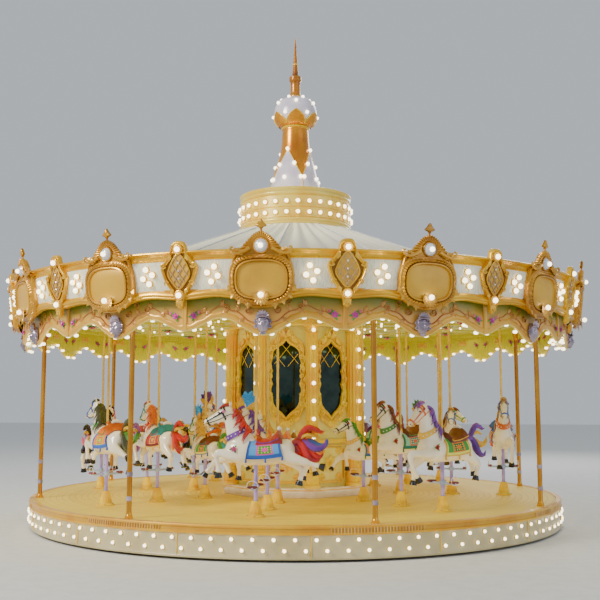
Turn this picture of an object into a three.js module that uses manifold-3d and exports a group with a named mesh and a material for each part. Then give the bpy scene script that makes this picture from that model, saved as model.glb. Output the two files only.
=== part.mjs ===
// A fairground carousel: twenty-four jumping horses, three abreast on eight stations, on a turning deck
// under a round canopy. Millimetres, +Z up. The origin is on the turning axis at ground level, and the
// front of the carousel looks along -Y.
// An angle is counted in degrees from the front, and grows towards +X.
import * as THREE from "three";
import { mergeVertices } from "three/addons/utils/BufferGeometryUtils.js";
import Module from "manifold-3d";

const wasm = await Module();
wasm.setup();

// Driving dimensions
const STATIONS = 8;
const BAYS = 14;
const SKIRT_R = 3750;
const DECK_TOP = 380;
const CEILING_Z = 2860;
const CRANK_THROW = 120;
const GAP = 0.3;

// Deck
const STATION_STEP = 360 / STATIONS;
const POLE_ANGLE = STATION_STEP / 2;
const FLOOR_THICK = 40;
const FLOOR_R = SKIRT_R - 66;
const FLOOR_INNER_R = 720;
const SEAM = 2;
const RIM_TOP = DECK_TOP + 4;
const RIM_DEPTH = 100;
const SKIRT_WALL = 22;
const SKIRT_BOTTOM = 30;

// Outer poles
const OUTER_POLE_R = 36;
const OUTER_POLE_RING_R = SKIRT_R * 0.966;
const RING_BEAM_DEPTH = 60;
const RING_BEAM_HALF = 30;

// Horses: one row is its radius and the horses' scale, and for each station where its crank stands at rest
// and whether its horse prances
const ROWS = [
  {
    row: "outer",
    radius: 3000,
    scale: 1,
    phase: [0, 0, 1, -1, 0, 0, -1, 1],
    prancing: [0, 1, 1, 0, 0, 1, 1, 0],
  },
  {
    row: "middle",
    radius: 2270,
    scale: 0.92,
    phase: [0, 1, 0, -1, 0, -1, 0, 1],
    prancing: [1, 1, 0, 0, 1, 1, 0, 1],
  },
  {
    row: "inner",
    radius: 1540,
    scale: 0.8,
    phase: [0, -1, 0, 1, 0, 1, 0, -1],
    prancing: [1, 0, 1, 0, 1, 0, 1, 1],
  },
];
const REST_OFFSET = CRANK_THROW / 2;
const HOOF_Z = DECK_TOP + 370;
const SMALL_HORSE_LIFT = 250;
const HANG_POLE_R = 20;
const SLEEVE_R = 28;
const RUNNING_GAP = 0.9;
const POLE_SIDES = 6;
const RING_SIDES = 48;
const HANG_POLE_TOP = CEILING_Z + 240;
const SLEEVE_BOTTOM = DECK_TOP - 30;
const BELL_HEIGHT = 180;
const LEG_SPREAD = 72;
const PEG_DROP = 50;
const PEG_REACH = 215;
const PEG_SIZE = 26;

// Centre drum
const CORE_R = 940;
const COLUMN_R = 82;
const CORE_WALL = 30;
const PLINTH_HEIGHT = 130;
const MIRROR_LOW = 1450;
const MIRROR_HIGH = 2560;
const MIRROR_THICK = 10;
const ENTABLATURE_HEIGHT = 110;

// Canopy edge
const BOARD_LOW_R = 3998;
const BOARD_TOP_R = 4058;
const BOARD_LOW_Z = 2795;
const BOARD_TOP_Z = 3296;
const BAY_STEP = 360 / BAYS;
const SHIELD_ANGLE = 3.65;
const CEILING_R = 3958;
const CEILING_HOLE_R = 640;
const CEILING_THICK = 25;
const SWEEP_HUB_R = 330;
const SWEEP_REACH = 3830;
const SWEEP_DEPTH = 60;
const SWEEP_HALF = 25;
const VALANCE_R = 3900;
const VALANCE_THICK = 24;
const MASK_PROUD = 18;
const MASK_Z = 2516;

// Roof and crown
const ROOF_EDGE_R = 3948;
const ROOF_EDGE_Z = 3040;
const ROOF_TOP_Z = 4232;
const ROOF_TOP_R = 840;
const DRUM_R = 836;
const DRUM_TOP_Z = 4770;
const TOP_Z = 7320;

// Mast and base
const MAST_R = 150;
const MAST_TOP = 3100;
const BASE_HEIGHT = 120;
const SLEEPER_R = 3400;

function finish(color, roughness, metalness) {
  return new THREE.MeshStandardMaterial({ color, roughness, metalness });
}

const GOLD = finish(0xd9a441, 0.35, 0.6);
const CREAM = finish(0xe9dca6, 0.6, 0);
const WHITE = finish(0xf2ece2, 0.4, 0);
const YELLOW = finish(0xdccb4e, 0.5, 0);
const FLOOR = finish(0xcfc07a, 0.6, 0);
const MIRROR = finish(0x9fb0b8, 0.05, 1);
const STEEL = finish(0x8c9094, 0.5, 0.8);
const ROOFING = finish(0xd8dcd6, 0.6, 0);

const carousel = new THREE.Group();
const radians = THREE.MathUtils.degToRad;

// Solids from three.js geometry, and their joins and cuts.

function solid(geometry) {
  const bare = geometry.clone();
  bare.deleteAttribute("normal");
  bare.deleteAttribute("uv");
  const merged = mergeVertices(bare, 1e-3);
  return new wasm.Manifold(
    new wasm.Mesh({
      numProp: 3,
      vertProperties: new Float32Array(merged.attributes.position.array),
      triVerts: new Uint32Array(merged.index.array),
    }),
  );
}

function join(parts) {
  return parts.reduce((whole, part) => whole.add(part));
}

function geometryOf(body) {
  const { vertProperties, triVerts } = body.getMesh();
  return new THREE.BufferGeometry()
    .setAttribute("position", new THREE.BufferAttribute(new Float32Array(vertProperties), 3))
    .setIndex(new THREE.BufferAttribute(new Uint32Array(triVerts), 1));
}

function addPiece(name, geometry, material, angle = 0, x = 0, y = 0, z = 0) {
  const flat = geometry.toNonIndexed();
  flat.computeVertexNormals();
  const piece = new THREE.Mesh(flat, material);
  piece.name = name;
  piece.position.set(x, y, z);
  piece.rotation.z = radians(angle);
  carousel.add(piece);
}

// A box by its lowest and highest corners.
function block(x0, y0, z0, x1, y1, z1) {
  return solid(
    new THREE.BoxGeometry(x1 - x0, y1 - y0, z1 - z0).translate((x0 + x1) / 2, (y0 + y1) / 2, (z0 + z1) / 2),
  );
}

// A solid of revolution about Z. The profile is a list of [radius, z] that closes on itself or on the axis.
function turned(profile, sides, startAngle = 0) {
  const points = profile.map(([r, z]) => new THREE.Vector2(r, z));
  if (profile[0][0] > 0) points.push(points[0].clone());
  const geometry = new THREE.LatheGeometry(points, sides).rotateX(Math.PI / 2).rotateZ(radians(startAngle));
  const body = solid(geometry);
  return body.volume() > 0 ? body : solid(flipped(geometry));
}

function flipped(geometry) {
  const turnedRound = geometry.clone();
  const index = turnedRound.index.array;
  for (let i = 0; i < index.length; i += 3) [index[i + 1], index[i + 2]] = [index[i + 2], index[i + 1]];
  return turnedRound;
}

// A round bar along Z.
function bar(radius, z0, z1, sides) {
  const upright = new THREE.CylinderGeometry(radius, radius, z1 - z0, sides).rotateX(Math.PI / 2);
  return solid(upright.translate(0, 0, (z0 + z1) / 2));
}

// A closed tube through rings: [x, z, the path's tilt in degrees, half height, half width].
function ringTube(rings, sides) {
  const last = rings.length - 1;
  const profile = [[0, 0], ...rings.map((ring, i) => [1, i]), [0, last]];
  const geometry = new THREE.LatheGeometry(profile.map(([r, i]) => new THREE.Vector2(r, i)), sides);
  const position = geometry.getAttribute("position");
  for (let i = 0; i < position.count; i++) {
    const [x, z, tilt, up, across] = rings[Math.round(position.getY(i))];
    const rise = position.getZ(i) * up;
    const a = radians(tilt);
    position.setXYZ(i, x - rise * Math.sin(a), position.getX(i) * across, z + rise * Math.cos(a));
  }
  const body = solid(geometry);
  return body.volume() > 0 ? body : solid(flipped(geometry));
}

// A flat plate: an outline in the XZ plane, from y0 to y1.
function plate(shape, y0, y1, curveSegments = 6) {
  const geometry = new THREE.ExtrudeGeometry(shape, { depth: y1 - y0, bevelEnabled: false, curveSegments });
  return solid(geometry.rotateX(Math.PI / 2).translate(0, y1, 0));
}

function outline(points) {
  return new THREE.Shape(points.map(([x, z]) => new THREE.Vector2(x, z)));
}

// The wedge between two angles, that cuts a round ring into a bay.
function wedge(fromAngle, toAngle, radius, z0, z1) {
  const points = [new THREE.Vector2(0, 0)];
  const steps = 4;
  for (let i = 0; i <= steps; i++) {
    const a = radians(fromAngle + ((toAngle - fromAngle) * i) / steps);
    points.push(new THREE.Vector2(radius * Math.sin(a), -radius * Math.cos(a)));
  }
  const options = { depth: z1 - z0, bevelEnabled: false };
  return solid(new THREE.ExtrudeGeometry(new THREE.Shape(points), options).translate(0, 0, z0));
}

const at = (body, angle, radius, z = 0) => body.translate(0, -radius, z).rotate(0, 0, angle);

// Base: a hub and eight sleepers on the ground, and the mast that the whole top turns on.

function baseFrame() {
  const hub = turned([[0, 0], [620, 0], [620, BASE_HEIGHT], [0, BASE_HEIGHT]], 24);
  const parts = [hub];
  for (let k = 0; k < STATIONS; k++) {
    const sleeper = block(-60, -SLEEPER_R, 20, 60, -500, BASE_HEIGHT - 10);
    const foot = block(-130, -SLEEPER_R - 60, 0, 130, -SLEEPER_R + 200, 40);
    parts.push(sleeper.add(foot).rotate(0, 0, k * STATION_STEP));
  }
  return join(parts);
}

function mast() {
  const flangeZ = CEILING_Z - GAP;
  return turned(
    [
      [0, BASE_HEIGHT + GAP],
      [300, BASE_HEIGHT + GAP],
      [300, BASE_HEIGHT + 30],
      [MAST_R, BASE_HEIGHT + 60],
      [MAST_R, flangeZ - 90],
      [260, flangeZ - 40],
      [260, flangeZ],
      [MAST_R - 5, flangeZ],
      [MAST_R - 5, MAST_TOP],
      [0, MAST_TOP],
    ],
    16,
  );
}

// Deck: eight floor sections, each with the yellow bells that guide its three sleeves, and a gold rim over a
// white skirt.

function bellShape() {
  return turned(
    [
      [0, -6],
      [108, -6],
      [108, 14],
      [76, 30],
      [42, BELL_HEIGHT],
      [0, BELL_HEIGHT],
    ],
    POLE_SIDES,
  );
}

function deckSection() {
  const half = STATION_STEP / 2;
  const floorRing = turned(
    [
      [FLOOR_INNER_R, DECK_TOP - FLOOR_THICK],
      [FLOOR_R, DECK_TOP - FLOOR_THICK],
      [FLOOR_R, DECK_TOP],
      [FLOOR_INNER_R, DECK_TOP],
    ],
    RING_SIDES,
  );
  let section = floorRing.intersect(wedge(-half, half, SKIRT_R * 1.2, 0, CEILING_Z));
  const seam = (SEAM / 2) * Math.cos(radians(half));
  const trim = block(-seam, -SKIRT_R, 0, seam, 0, CEILING_Z);
  section = section.subtract(trim.rotate(0, 0, half)).subtract(trim.rotate(0, 0, -half));
  for (const { radius } of ROWS) {
    section = section.add(at(bellShape(), 0, radius, DECK_TOP));
  }
  for (const { radius } of ROWS) {
    const bore = bar(SLEEVE_R + RUNNING_GAP, 0, DECK_TOP + 2 * BELL_HEIGHT, POLE_SIDES);
    section = section.subtract(bore.translate(0, -radius, 0));
  }
  return section;
}

function rimBand() {
  const low = RIM_TOP - RIM_DEPTH;
  return turned(
    [
      [FLOOR_R + GAP, low],
      [SKIRT_R + 6, low],
      [SKIRT_R + 6, low + 14],
      [SKIRT_R - 16, RIM_TOP],
      [FLOOR_R + GAP, RIM_TOP],
    ],
    RING_SIDES,
  );
}

function skirt() {
  const top = RIM_TOP - RIM_DEPTH - GAP;
  const outer = SKIRT_R - 6;
  const inner = outer - SKIRT_WALL;
  return turned([[inner, SKIRT_BOTTOM], [outer, SKIRT_BOTTOM], [outer, top], [inner, top]], RING_SIDES);
}

// Outer poles: eight brass posts from the deck to the ring beam under the ceiling.

function outerPoles() {
  const foot = DECK_TOP + GAP;
  const beamTop = CEILING_Z - GAP;
  const beamLow = beamTop - RING_BEAM_DEPTH;
  const inner = OUTER_POLE_RING_R - RING_BEAM_HALF;
  const outer = OUTER_POLE_RING_R + RING_BEAM_HALF;
  const beam = [[inner, beamLow], [outer, beamLow], [outer, beamTop], [inner, beamTop]];
  const parts = [turned(beam, RING_SIDES / 2)];
  for (let k = 0; k < STATIONS; k++) {
    const post = turned(
      [
        [0, foot],
        [54, foot],
        [OUTER_POLE_R, foot + 30],
        [OUTER_POLE_R, beamLow + 10],
        [0, beamLow + 10],
      ],
      POLE_SIDES,
    );
    parts.push(at(post, POLE_ANGLE + k * STATION_STEP, OUTER_POLE_RING_R));
  }
  return join(parts);
}

// Centre drum: a plinth, an octagonal wall, a band of mirrors, and eight columns with gold frames between.

// An octagonal tube with its corners on the columns. The radii are to its flats.
function octagonTube(innerFlat, outerFlat, z0, z1) {
  const toCorner = 1 / Math.cos(radians(POLE_ANGLE));
  const inner = innerFlat * toCorner;
  const outer = outerFlat * toCorner;
  return turned([[inner, z0], [outer, z0], [outer, z1], [inner, z1]], STATIONS, POLE_ANGLE);
}

const CORE_FLAT = CORE_R * Math.cos(radians(POLE_ANGLE));
const WALL_OUTER = CORE_FLAT - 50;

function corePlinth() {
  const z0 = DECK_TOP + GAP;
  const inner = WALL_OUTER - CORE_WALL;
  const stepZ = z0 + PLINTH_HEIGHT - 40;
  const low = octagonTube(inner, CORE_FLAT + 110, z0, stepZ);
  return low.add(octagonTube(inner, CORE_FLAT + 90, stepZ - 10, z0 + PLINTH_HEIGHT));
}

const PLINTH_TOP = DECK_TOP + GAP + PLINTH_HEIGHT;

function coreWall() {
  return octagonTube(WALL_OUTER - CORE_WALL, WALL_OUTER, PLINTH_TOP + GAP, CEILING_Z - GAP);
}

function coreMirrors() {
  const inner = WALL_OUTER + GAP;
  return octagonTube(inner, inner + MIRROR_THICK, MIRROR_LOW, MIRROR_HIGH);
}

// The outline of one gold mirror frame, wide at its shoulders, with a waisted opening.
function frameOutline(halfWidth) {
  const shape = outline([
    [-halfWidth, 1130],
    [halfWidth, 1130],
    [halfWidth, 2600],
    [0, 2700],
    [-halfWidth, 2600],
  ]);
  const opening = [
    [0, MIRROR_LOW + 20],
    [160, 1640],
    [130, 1860],
    [185, 2160],
    [0, MIRROR_HIGH - 40],
  ];
  const mirrored = opening.slice(1, -1).reverse().map(([x, z]) => [-x, z]);
  shape.holes.push(new THREE.Path([...opening, ...mirrored].map(([x, z]) => new THREE.Vector2(x, z))));
  return shape;
}

function coreColumns() {
  const base = PLINTH_TOP + GAP;
  const top = CEILING_Z - GAP;
  const entablatureLow = top - ENTABLATURE_HEIGHT;
  const clear = WALL_OUTER + MIRROR_THICK + 2 * GAP;
  const parts = [octagonTube(clear, CORE_FLAT + 60, entablatureLow, top)];
  const halfFace = CORE_FLAT * Math.tan(radians(POLE_ANGLE)) - 20;
  for (let k = 0; k < STATIONS; k++) {
    const column = turned(
      [
        [0, base],
        [COLUMN_R + 34, base],
        [COLUMN_R, base + 90],
        [COLUMN_R, entablatureLow - 90],
        [COLUMN_R + 30, entablatureLow + 20],
        [0, entablatureLow + 20],
      ],
      POLE_SIDES,
    );
    parts.push(at(column, POLE_ANGLE + k * STATION_STEP, CORE_R + 25));
    parts.push(plate(frameOutline(halfFace), -clear - 26, -clear).rotate(0, 0, k * STATION_STEP));
  }
  // The columns' backs stop short of the wall and the mirrors behind them.
  return join(parts).subtract(octagonTube(10, clear - GAP / 2, 0, top + 10));
}

// Canopy: the ceiling, the scalloped valance with its silver masks, and fourteen rounding boards.

function ceiling() {
  const top = CEILING_Z + CEILING_THICK;
  const hole = CEILING_HOLE_R;
  const profile = [[hole, CEILING_Z], [CEILING_R, CEILING_Z], [CEILING_R, top], [hole, top]];
  let disc = turned(profile, BAYS * 4, SHIELD_ANGLE);
  for (const { radius } of ROWS) {
    const bore = bar(HANG_POLE_R + RUNNING_GAP, 0, HANG_POLE_TOP, POLE_SIDES);
    for (let k = 0; k < STATIONS; k++) disc = disc.subtract(at(bore, k * STATION_STEP, radius));
  }
  return disc;
}

// The sweeps: a hub that turns on the mast, and eight beams that lie on the ceiling between the stations.
function sweeps() {
  const low = CEILING_Z + CEILING_THICK + GAP;
  const top = low + SWEEP_DEPTH;
  const bore = MAST_R;
  const parts = [turned([[bore, CEILING_Z], [SWEEP_HUB_R, CEILING_Z], [SWEEP_HUB_R, top], [bore, top]], 16)];
  for (let k = 0; k < STATIONS; k++) {
    const beam = block(-SWEEP_HALF, -SWEEP_REACH, low, SWEEP_HALF, -SWEEP_HUB_R + 20, top);
    parts.push(beam.rotate(0, 0, POLE_ANGLE + k * STATION_STEP));
  }
  return join(parts);
}

// Height of the valance's lower edge at an angle from the nearest mask.
function scallopZ(angle) {
  const wave = radians(angle * BAYS);
  return 2512.5 - 30 * Math.cos(wave) - 80.5 * Math.cos(2 * wave);
}

function valance() {
  const top = CEILING_Z - GAP;
  const inner = VALANCE_R - VALANCE_THICK;
  const low = 2390;
  const sides = BAYS * 6;
  const profile = [[inner, low], [inner, top], [VALANCE_R, top], [VALANCE_R, low], [inner, low]];
  const points = profile.map(([r, z]) => new THREE.Vector2(r, z));
  const geometry = new THREE.LatheGeometry(points, sides).rotateX(Math.PI / 2);
  const position = geometry.getAttribute("position");
  for (let i = 0; i < position.count; i++) {
    if (position.getZ(i) > low + 1) continue;
    const angle = THREE.MathUtils.radToDeg(Math.atan2(position.getX(i), -position.getY(i)));
    position.setZ(i, scallopZ(angle));
  }
  let ring = solid(geometry);
  if (ring.volume() < 0) ring = solid(flipped(geometry));
  const mask = solid(new THREE.SphereGeometry(1, 5, 4).rotateX(Math.PI / 2).scale(84, 62, 110));
  const parts = [ring];
  for (let k = 0; k < BAYS; k++) parts.push(at(mask, k * BAY_STEP, VALANCE_R + MASK_PROUD, MASK_Z));
  return join(parts).rotate(0, 0, SHIELD_ANGLE);
}

function shieldOutline() {
  return outline([
    [0, -140],
    [268, -10],
    [350, 215],
    [290, 395],
    [320, 465],
    [130, 520],
    [70, 640],
    [22, 690],
    [58, 748],
    [0, 815],
    [-58, 748],
    [-22, 690],
    [-70, 640],
    [-130, 520],
    [-320, 465],
    [-290, 395],
    [-350, 215],
    [-268, -10],
  ]);
}

function diamondOutline() {
  return outline([
    [0, -130],
    [180, 260],
    [60, 590],
    [-60, 590],
    [-180, 260],
  ]);
}

const boardSlope = Math.atan2(BOARD_TOP_R - BOARD_LOW_R, BOARD_TOP_Z - BOARD_LOW_Z);
const BOARD_LEAN = THREE.MathUtils.radToDeg(boardSlope);

function roundingBoards() {
  const ring = turned(
    [
      [CEILING_R + GAP, BOARD_LOW_Z],
      [BOARD_LOW_R + 30, BOARD_LOW_Z],
      [BOARD_TOP_R - 10, BOARD_TOP_Z - 70],
      [BOARD_TOP_R + 46, BOARD_TOP_Z],
      [CEILING_R + GAP, BOARD_TOP_Z],
    ],
    BAYS * 4,
  );
  const front = (shape, proud) =>
    plate(shape, -proud, 20).rotate(BOARD_LEAN, 0, 0).translate(0, -BOARD_LOW_R, BOARD_LOW_Z + 10);
  const shield = front(shieldOutline(), 84);
  const diamond = front(diamondOutline(), 70).rotate(0, 0, BAY_STEP / 2);
  const parts = [ring];
  for (let k = 0; k < BAYS; k++) parts.push(shield.add(diamond).rotate(0, 0, k * BAY_STEP));
  return join(parts);
}

// Roof and crown.

function roof() {
  const seat = CEILING_Z + CEILING_THICK + GAP;
  const innerR = ROOF_EDGE_R - 60;
  return turned(
    [
      [innerR, seat],
      [ROOF_EDGE_R, seat],
      [ROOF_EDGE_R, ROOF_EDGE_Z],
      [ROOF_TOP_R, ROOF_TOP_Z],
      [ROOF_TOP_R - 70, ROOF_TOP_Z],
      [ROOF_TOP_R - 70, ROOF_TOP_Z - 27],
      [innerR, ROOF_EDGE_Z - 30],
    ],
    BAYS * 2,
    SHIELD_ANGLE,
  );
}

function crownDrum() {
  const low = ROOF_TOP_Z + GAP;
  return turned(
    [
      [DRUM_R - 60, low],
      [DRUM_R - 24, low],
      [DRUM_R + 8, low + 38],
      [DRUM_R, low + 68],
      [DRUM_R, DRUM_TOP_Z - 60],
      [DRUM_R + 10, DRUM_TOP_Z],
      [300, DRUM_TOP_Z],
      [300, DRUM_TOP_Z - 20],
      [DRUM_R - 60, DRUM_TOP_Z - 20],
    ],
    24,
  );
}

function crownTower() {
  return turned(
    [
      [0, DRUM_TOP_Z + GAP],
      [430, DRUM_TOP_Z + GAP],
      [382, 4890],
      [300, 5180],
      [250, 5400],
      [217, 5600],
      [203, 5800],
      [199, 5880],
      [260, 5915],
      [326, 6020],
      [335, 6150],
      [280, 6270],
      [150, 6345],
      [95, 6375],
      [0, 6375],
    ],
    16,
  );
}

function spire() {
  return turned(
    [
      [0, 6375 + GAP],
      [88, 6375 + GAP],
      [78, 6450],
      [76, 6620],
      [94, 6635],
      [94, 6700],
      [50, 6725],
      [34, 6900],
      [9, TOP_Z],
      [0, TOP_Z],
    ],
    12,
  );
}

// Horses. Each is made facing +X with its pole on the Z axis and its hooves at z 0, and turned to face
// clockwise.

// A ring is [x, z, tilt, half height, half width], and a leg's rings run from the hip to the hoof.
const GALLOP = {
  body: [
    [-450, 390, 0, 70, 70],
    [-360, 375, 0, 140, 150],
    [-130, 348, 0, 142, 150],
    [170, 355, 5, 150, 160],
    [250, 520, 62, 130, 80],
    [290, 705, 78, 88, 52],
    [350, 812, 27, 92, 60],
    [590, 690, -27, 44, 40],
  ],
  legs: [
    { side: -1, rings: [[225, 320, -50, 70, 50], [490, 240, -30, 42, 40], [617, 95, -60, 38, 36]] },
    { side: 1, rings: [[215, 320, -20, 70, 50], [440, 345, -50, 42, 40], [420, 75, -95, 38, 36]] },
    { side: -1, rings: [[-330, 350, -110, 90, 60], [-530, 170, -110, 46, 40], [-500, 15, -80, 38, 36]] },
    { side: 1, rings: [[-330, 350, -150, 90, 60], [-600, 250, -165, 44, 40], [-790, 200, -165, 36, 34]] },
  ],
};

const PRANCE = {
  body: [
    [-450, 385, 0, 70, 70],
    [-360, 370, 0, 140, 150],
    [-130, 348, 2, 142, 150],
    [170, 372, 12, 158, 160],
    [270, 560, 72, 130, 80],
    [272, 752, 84, 88, 52],
    [325, 840, 10, 90, 60],
    [515, 675, -45, 44, 40],
  ],
  legs: [
    { side: 1, rings: [[225, 330, -40, 70, 50], [610, 320, -60, 42, 40], [450, 0, -100, 38, 36]] },
    { side: -1, rings: [[215, 320, -70, 70, 50], [410, 170, -85, 42, 40], [400, -20, -95, 36, 34]] },
    { side: 1, rings: [[-330, 350, -110, 90, 60], [-540, 180, -115, 46, 40], [-500, 0, -80, 38, 36]] },
    { side: -1, rings: [[-330, 350, -115, 90, 60], [-580, 225, -125, 44, 40], [-640, 40, -105, 38, 36]] },
  ],
};

const TAIL = [
  [-415, 470, 160, 40, 34],
  [-590, 445, 200, 62, 44],
  [-740, 250, 240, 34, 30],
];

function horseBody(pose) {
  const parts = [ringTube(pose.body, 6), ringTube(TAIL, 3)];
  for (const { side, rings } of pose.legs) parts.push(ringTube(rings, 3).translate(0, side * LEG_SPREAD, 0));
  return join(parts);
}

function horseUnit(pose, scale, lift) {
  const hoofZ = HOOF_Z + lift;
  const belly = hoofZ + 280 * scale;
  const pole = turned(
    [
      [0, SLEEVE_BOTTOM],
      [SLEEVE_R, SLEEVE_BOTTOM],
      [SLEEVE_R, belly],
      [HANG_POLE_R, belly],
      [HANG_POLE_R, HANG_POLE_TOP],
      [0, HANG_POLE_TOP],
    ],
    POLE_SIDES,
  );
  const pegZ = hoofZ - PEG_DROP;
  const pegs = block(-PEG_SIZE / 2, -PEG_REACH, pegZ, PEG_SIZE / 2, PEG_REACH, pegZ + PEG_SIZE);
  const body = horseBody(pose).scale(scale).translate(0, 0, hoofZ);
  return join([body, pole, pegs]).rotate(0, 0, 180);
}

// Assembly

addPiece("base_frame", geometryOf(baseFrame()), STEEL);
addPiece("center_mast", geometryOf(mast()), STEEL);
const section = geometryOf(deckSection());
for (let k = 0; k < STATIONS; k++) {
  addPiece(`deck_section_${k + 1}`, section, FLOOR, k * STATION_STEP);
}
addPiece("rim_band", geometryOf(rimBand()), GOLD);
addPiece("skirt", geometryOf(skirt()), WHITE);
addPiece("outer_poles", geometryOf(outerPoles()), GOLD);
addPiece("core_plinth", geometryOf(corePlinth()), WHITE);
addPiece("core_wall", geometryOf(coreWall()), CREAM);
addPiece("core_mirrors", geometryOf(coreMirrors()), MIRROR);
addPiece("core_columns", geometryOf(coreColumns()), GOLD);
addPiece("ceiling", geometryOf(ceiling()), YELLOW);
addPiece("sweeps", geometryOf(sweeps()), STEEL);
addPiece("valance", geometryOf(valance()), YELLOW);
addPiece("rounding_boards", geometryOf(roundingBoards()), CREAM, SHIELD_ANGLE);
addPiece("roof", geometryOf(roof()), ROOFING);
addPiece("crown_drum", geometryOf(crownDrum()), GOLD);
addPiece("crown_tower", geometryOf(crownTower()), GOLD);
addPiece("spire", geometryOf(spire()), GOLD);

for (const { row, radius, scale, phase, prancing } of ROWS) {
  const lift = (1 - scale) * SMALL_HORSE_LIFT;
  const units = [GALLOP, PRANCE].map((pose) => geometryOf(horseUnit(pose, scale, lift)));
  for (let k = 0; k < STATIONS; k++) {
    const angle = k * STATION_STEP;
    const x = radius * Math.sin(radians(angle));
    const y = -radius * Math.cos(radians(angle));
    addPiece(`horse_${row}_${k + 1}`, units[prancing[k]], WHITE, angle, x, y, phase[k] * REST_OFFSET);
  }
}

export default carousel;
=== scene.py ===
"""The looks of a fairground carousel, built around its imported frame.

Lengths are metres, +Z is up and the turning axis is Z. An angle is counted in degrees from the front,
which looks along -Y, and grows towards +X. Each sub-assembly is a class that builds its own pieces.
"""

import logging
import math
from dataclasses import dataclass, field
from enum import IntEnum
from typing import Any, Callable, Iterable, Sequence

import bmesh
import bpy
import numpy as np
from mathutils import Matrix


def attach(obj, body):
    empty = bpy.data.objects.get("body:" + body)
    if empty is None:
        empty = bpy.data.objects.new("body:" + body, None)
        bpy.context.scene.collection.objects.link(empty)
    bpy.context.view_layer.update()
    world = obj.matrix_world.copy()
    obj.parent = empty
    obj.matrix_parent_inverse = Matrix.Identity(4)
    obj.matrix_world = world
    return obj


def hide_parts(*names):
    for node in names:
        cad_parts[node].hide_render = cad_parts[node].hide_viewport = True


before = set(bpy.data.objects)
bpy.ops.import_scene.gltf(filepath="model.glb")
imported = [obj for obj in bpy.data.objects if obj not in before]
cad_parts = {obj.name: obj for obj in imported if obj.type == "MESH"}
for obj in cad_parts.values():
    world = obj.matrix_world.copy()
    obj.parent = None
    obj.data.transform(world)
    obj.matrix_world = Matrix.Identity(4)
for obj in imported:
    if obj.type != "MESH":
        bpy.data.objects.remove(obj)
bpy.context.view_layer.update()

Array = np.ndarray
Colour = tuple[float, float, float]
TAU = 2 * math.pi
log = logging.getLogger("carousel")

STATIONS = 8
BAYS = 14
STATION_STEP = 360 / STATIONS
BAY_STEP = 360 / BAYS
POLE_ANGLE = STATION_STEP / 2
SHIELD_ANGLE = 3.65
DECK_TOP = 0.38
CEILING_Z = 2.86
TURNTABLE = "turntable"


# Meshes as whole arrays


@dataclass
class Shape:
    """A part of a mesh, held as whole arrays.

    Attributes:
        points: The points, (n, 3).
        faces: Four corner numbers for each face, (m, 4). A triangle names its last corner twice.
        uv: The place of each point on its surface, (n, 2).
        finish: The number of each face's finish in its piece, (m,).
    """

    points: Array
    faces: Array
    uv: Array
    finish: Array

    def moved(self, x: float = 0.0, y: float = 0.0, z: float = 0.0) -> "Shape":
        """The same shape, shifted."""
        return Shape(self.points + np.array([x, y, z]), self.faces, self.uv, self.finish)

    def scaled(self, x: float, y: float, z: float) -> "Shape":
        """The same shape, stretched from the origin; a mirrored one keeps its faces pointing out."""
        faces = self.faces if x * y * z > 0 else self.faces[:, [1, 0, 3, 2]]
        return Shape(self.points * np.array([x, y, z]), faces, self.uv, self.finish)

    def turned(self, degrees: float, axis: str = "z") -> "Shape":
        """The same shape, turned about an axis by the right-hand rule.

        Args:
            degrees: The angle.
            axis: The axis' letter.

        Returns:
            The turned shape: the two other coordinates go through the plane rotation matrix.
        """
        i, j = {"x": (1, 2), "y": (2, 0), "z": (0, 1)}[axis]
        c, s = math.cos(math.radians(degrees)), math.sin(math.radians(degrees))
        points = self.points.copy()
        points[:, i] = self.points[:, i] * c - self.points[:, j] * s
        points[:, j] = self.points[:, i] * s + self.points[:, j] * c
        return Shape(points, self.faces, self.uv, self.finish)

    def at(self, angle: float, radius: float, z: float = 0.0) -> "Shape":
        """The same shape, put out along -Y to a radius and a height, then turned to an angle."""
        return self.moved(y=-radius, z=z).turned(angle)

    def ring(self, count: int, start: float = 0.0) -> "Shape":
        """Copies of the shape, spaced evenly round the axis.

        Args:
            count: How many copies.
            start: The angle of the first.

        Returns:
            One shape with all the copies.
        """
        return join(self.turned(start + 360 * k / count) for k in range(count))


def join(shapes: Iterable[Shape]) -> Shape:
    """Joins shapes: their arrays are stacked, and corner numbers go up by the points before them."""
    parts = list(shapes)
    starts = np.cumsum([0] + [len(part.points) for part in parts[:-1]])
    faces = [part.faces + start for part, start in zip(parts, starts)]
    return Shape(np.concatenate([part.points for part in parts]), np.concatenate(faces),
        np.concatenate([part.uv for part in parts]), np.concatenate([part.finish for part in parts]))


def mm(*rows: Sequence[float], at: Any = 0) -> Array:
    """A table of points or shares given in thousandths, with the place `at` added to each row."""
    return np.array(rows) / 1000 + np.array(at)


def swept(a: Any, r: Any, z: Any) -> Array:
    """Points (r sin a, -r cos a, z) of an angle in radians; the tables are broadcast together."""
    a, r, z = np.broadcast_arrays(a, r, z)
    return np.stack([r * np.sin(a), -r * np.cos(a), z], -1)


def round_points(angle: Any, radius: Any, z: Any) -> Array:
    """The same points for an angle in degrees."""
    return swept(np.radians(angle), radius, z)


def upright(flat: Array, y: Any) -> Array:
    """Points (x, y, z) from a table of (x, z) and their y."""
    return np.stack([flat[..., 0], np.broadcast_to(y, flat.shape[:-1]), flat[..., 1]], -1)


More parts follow.
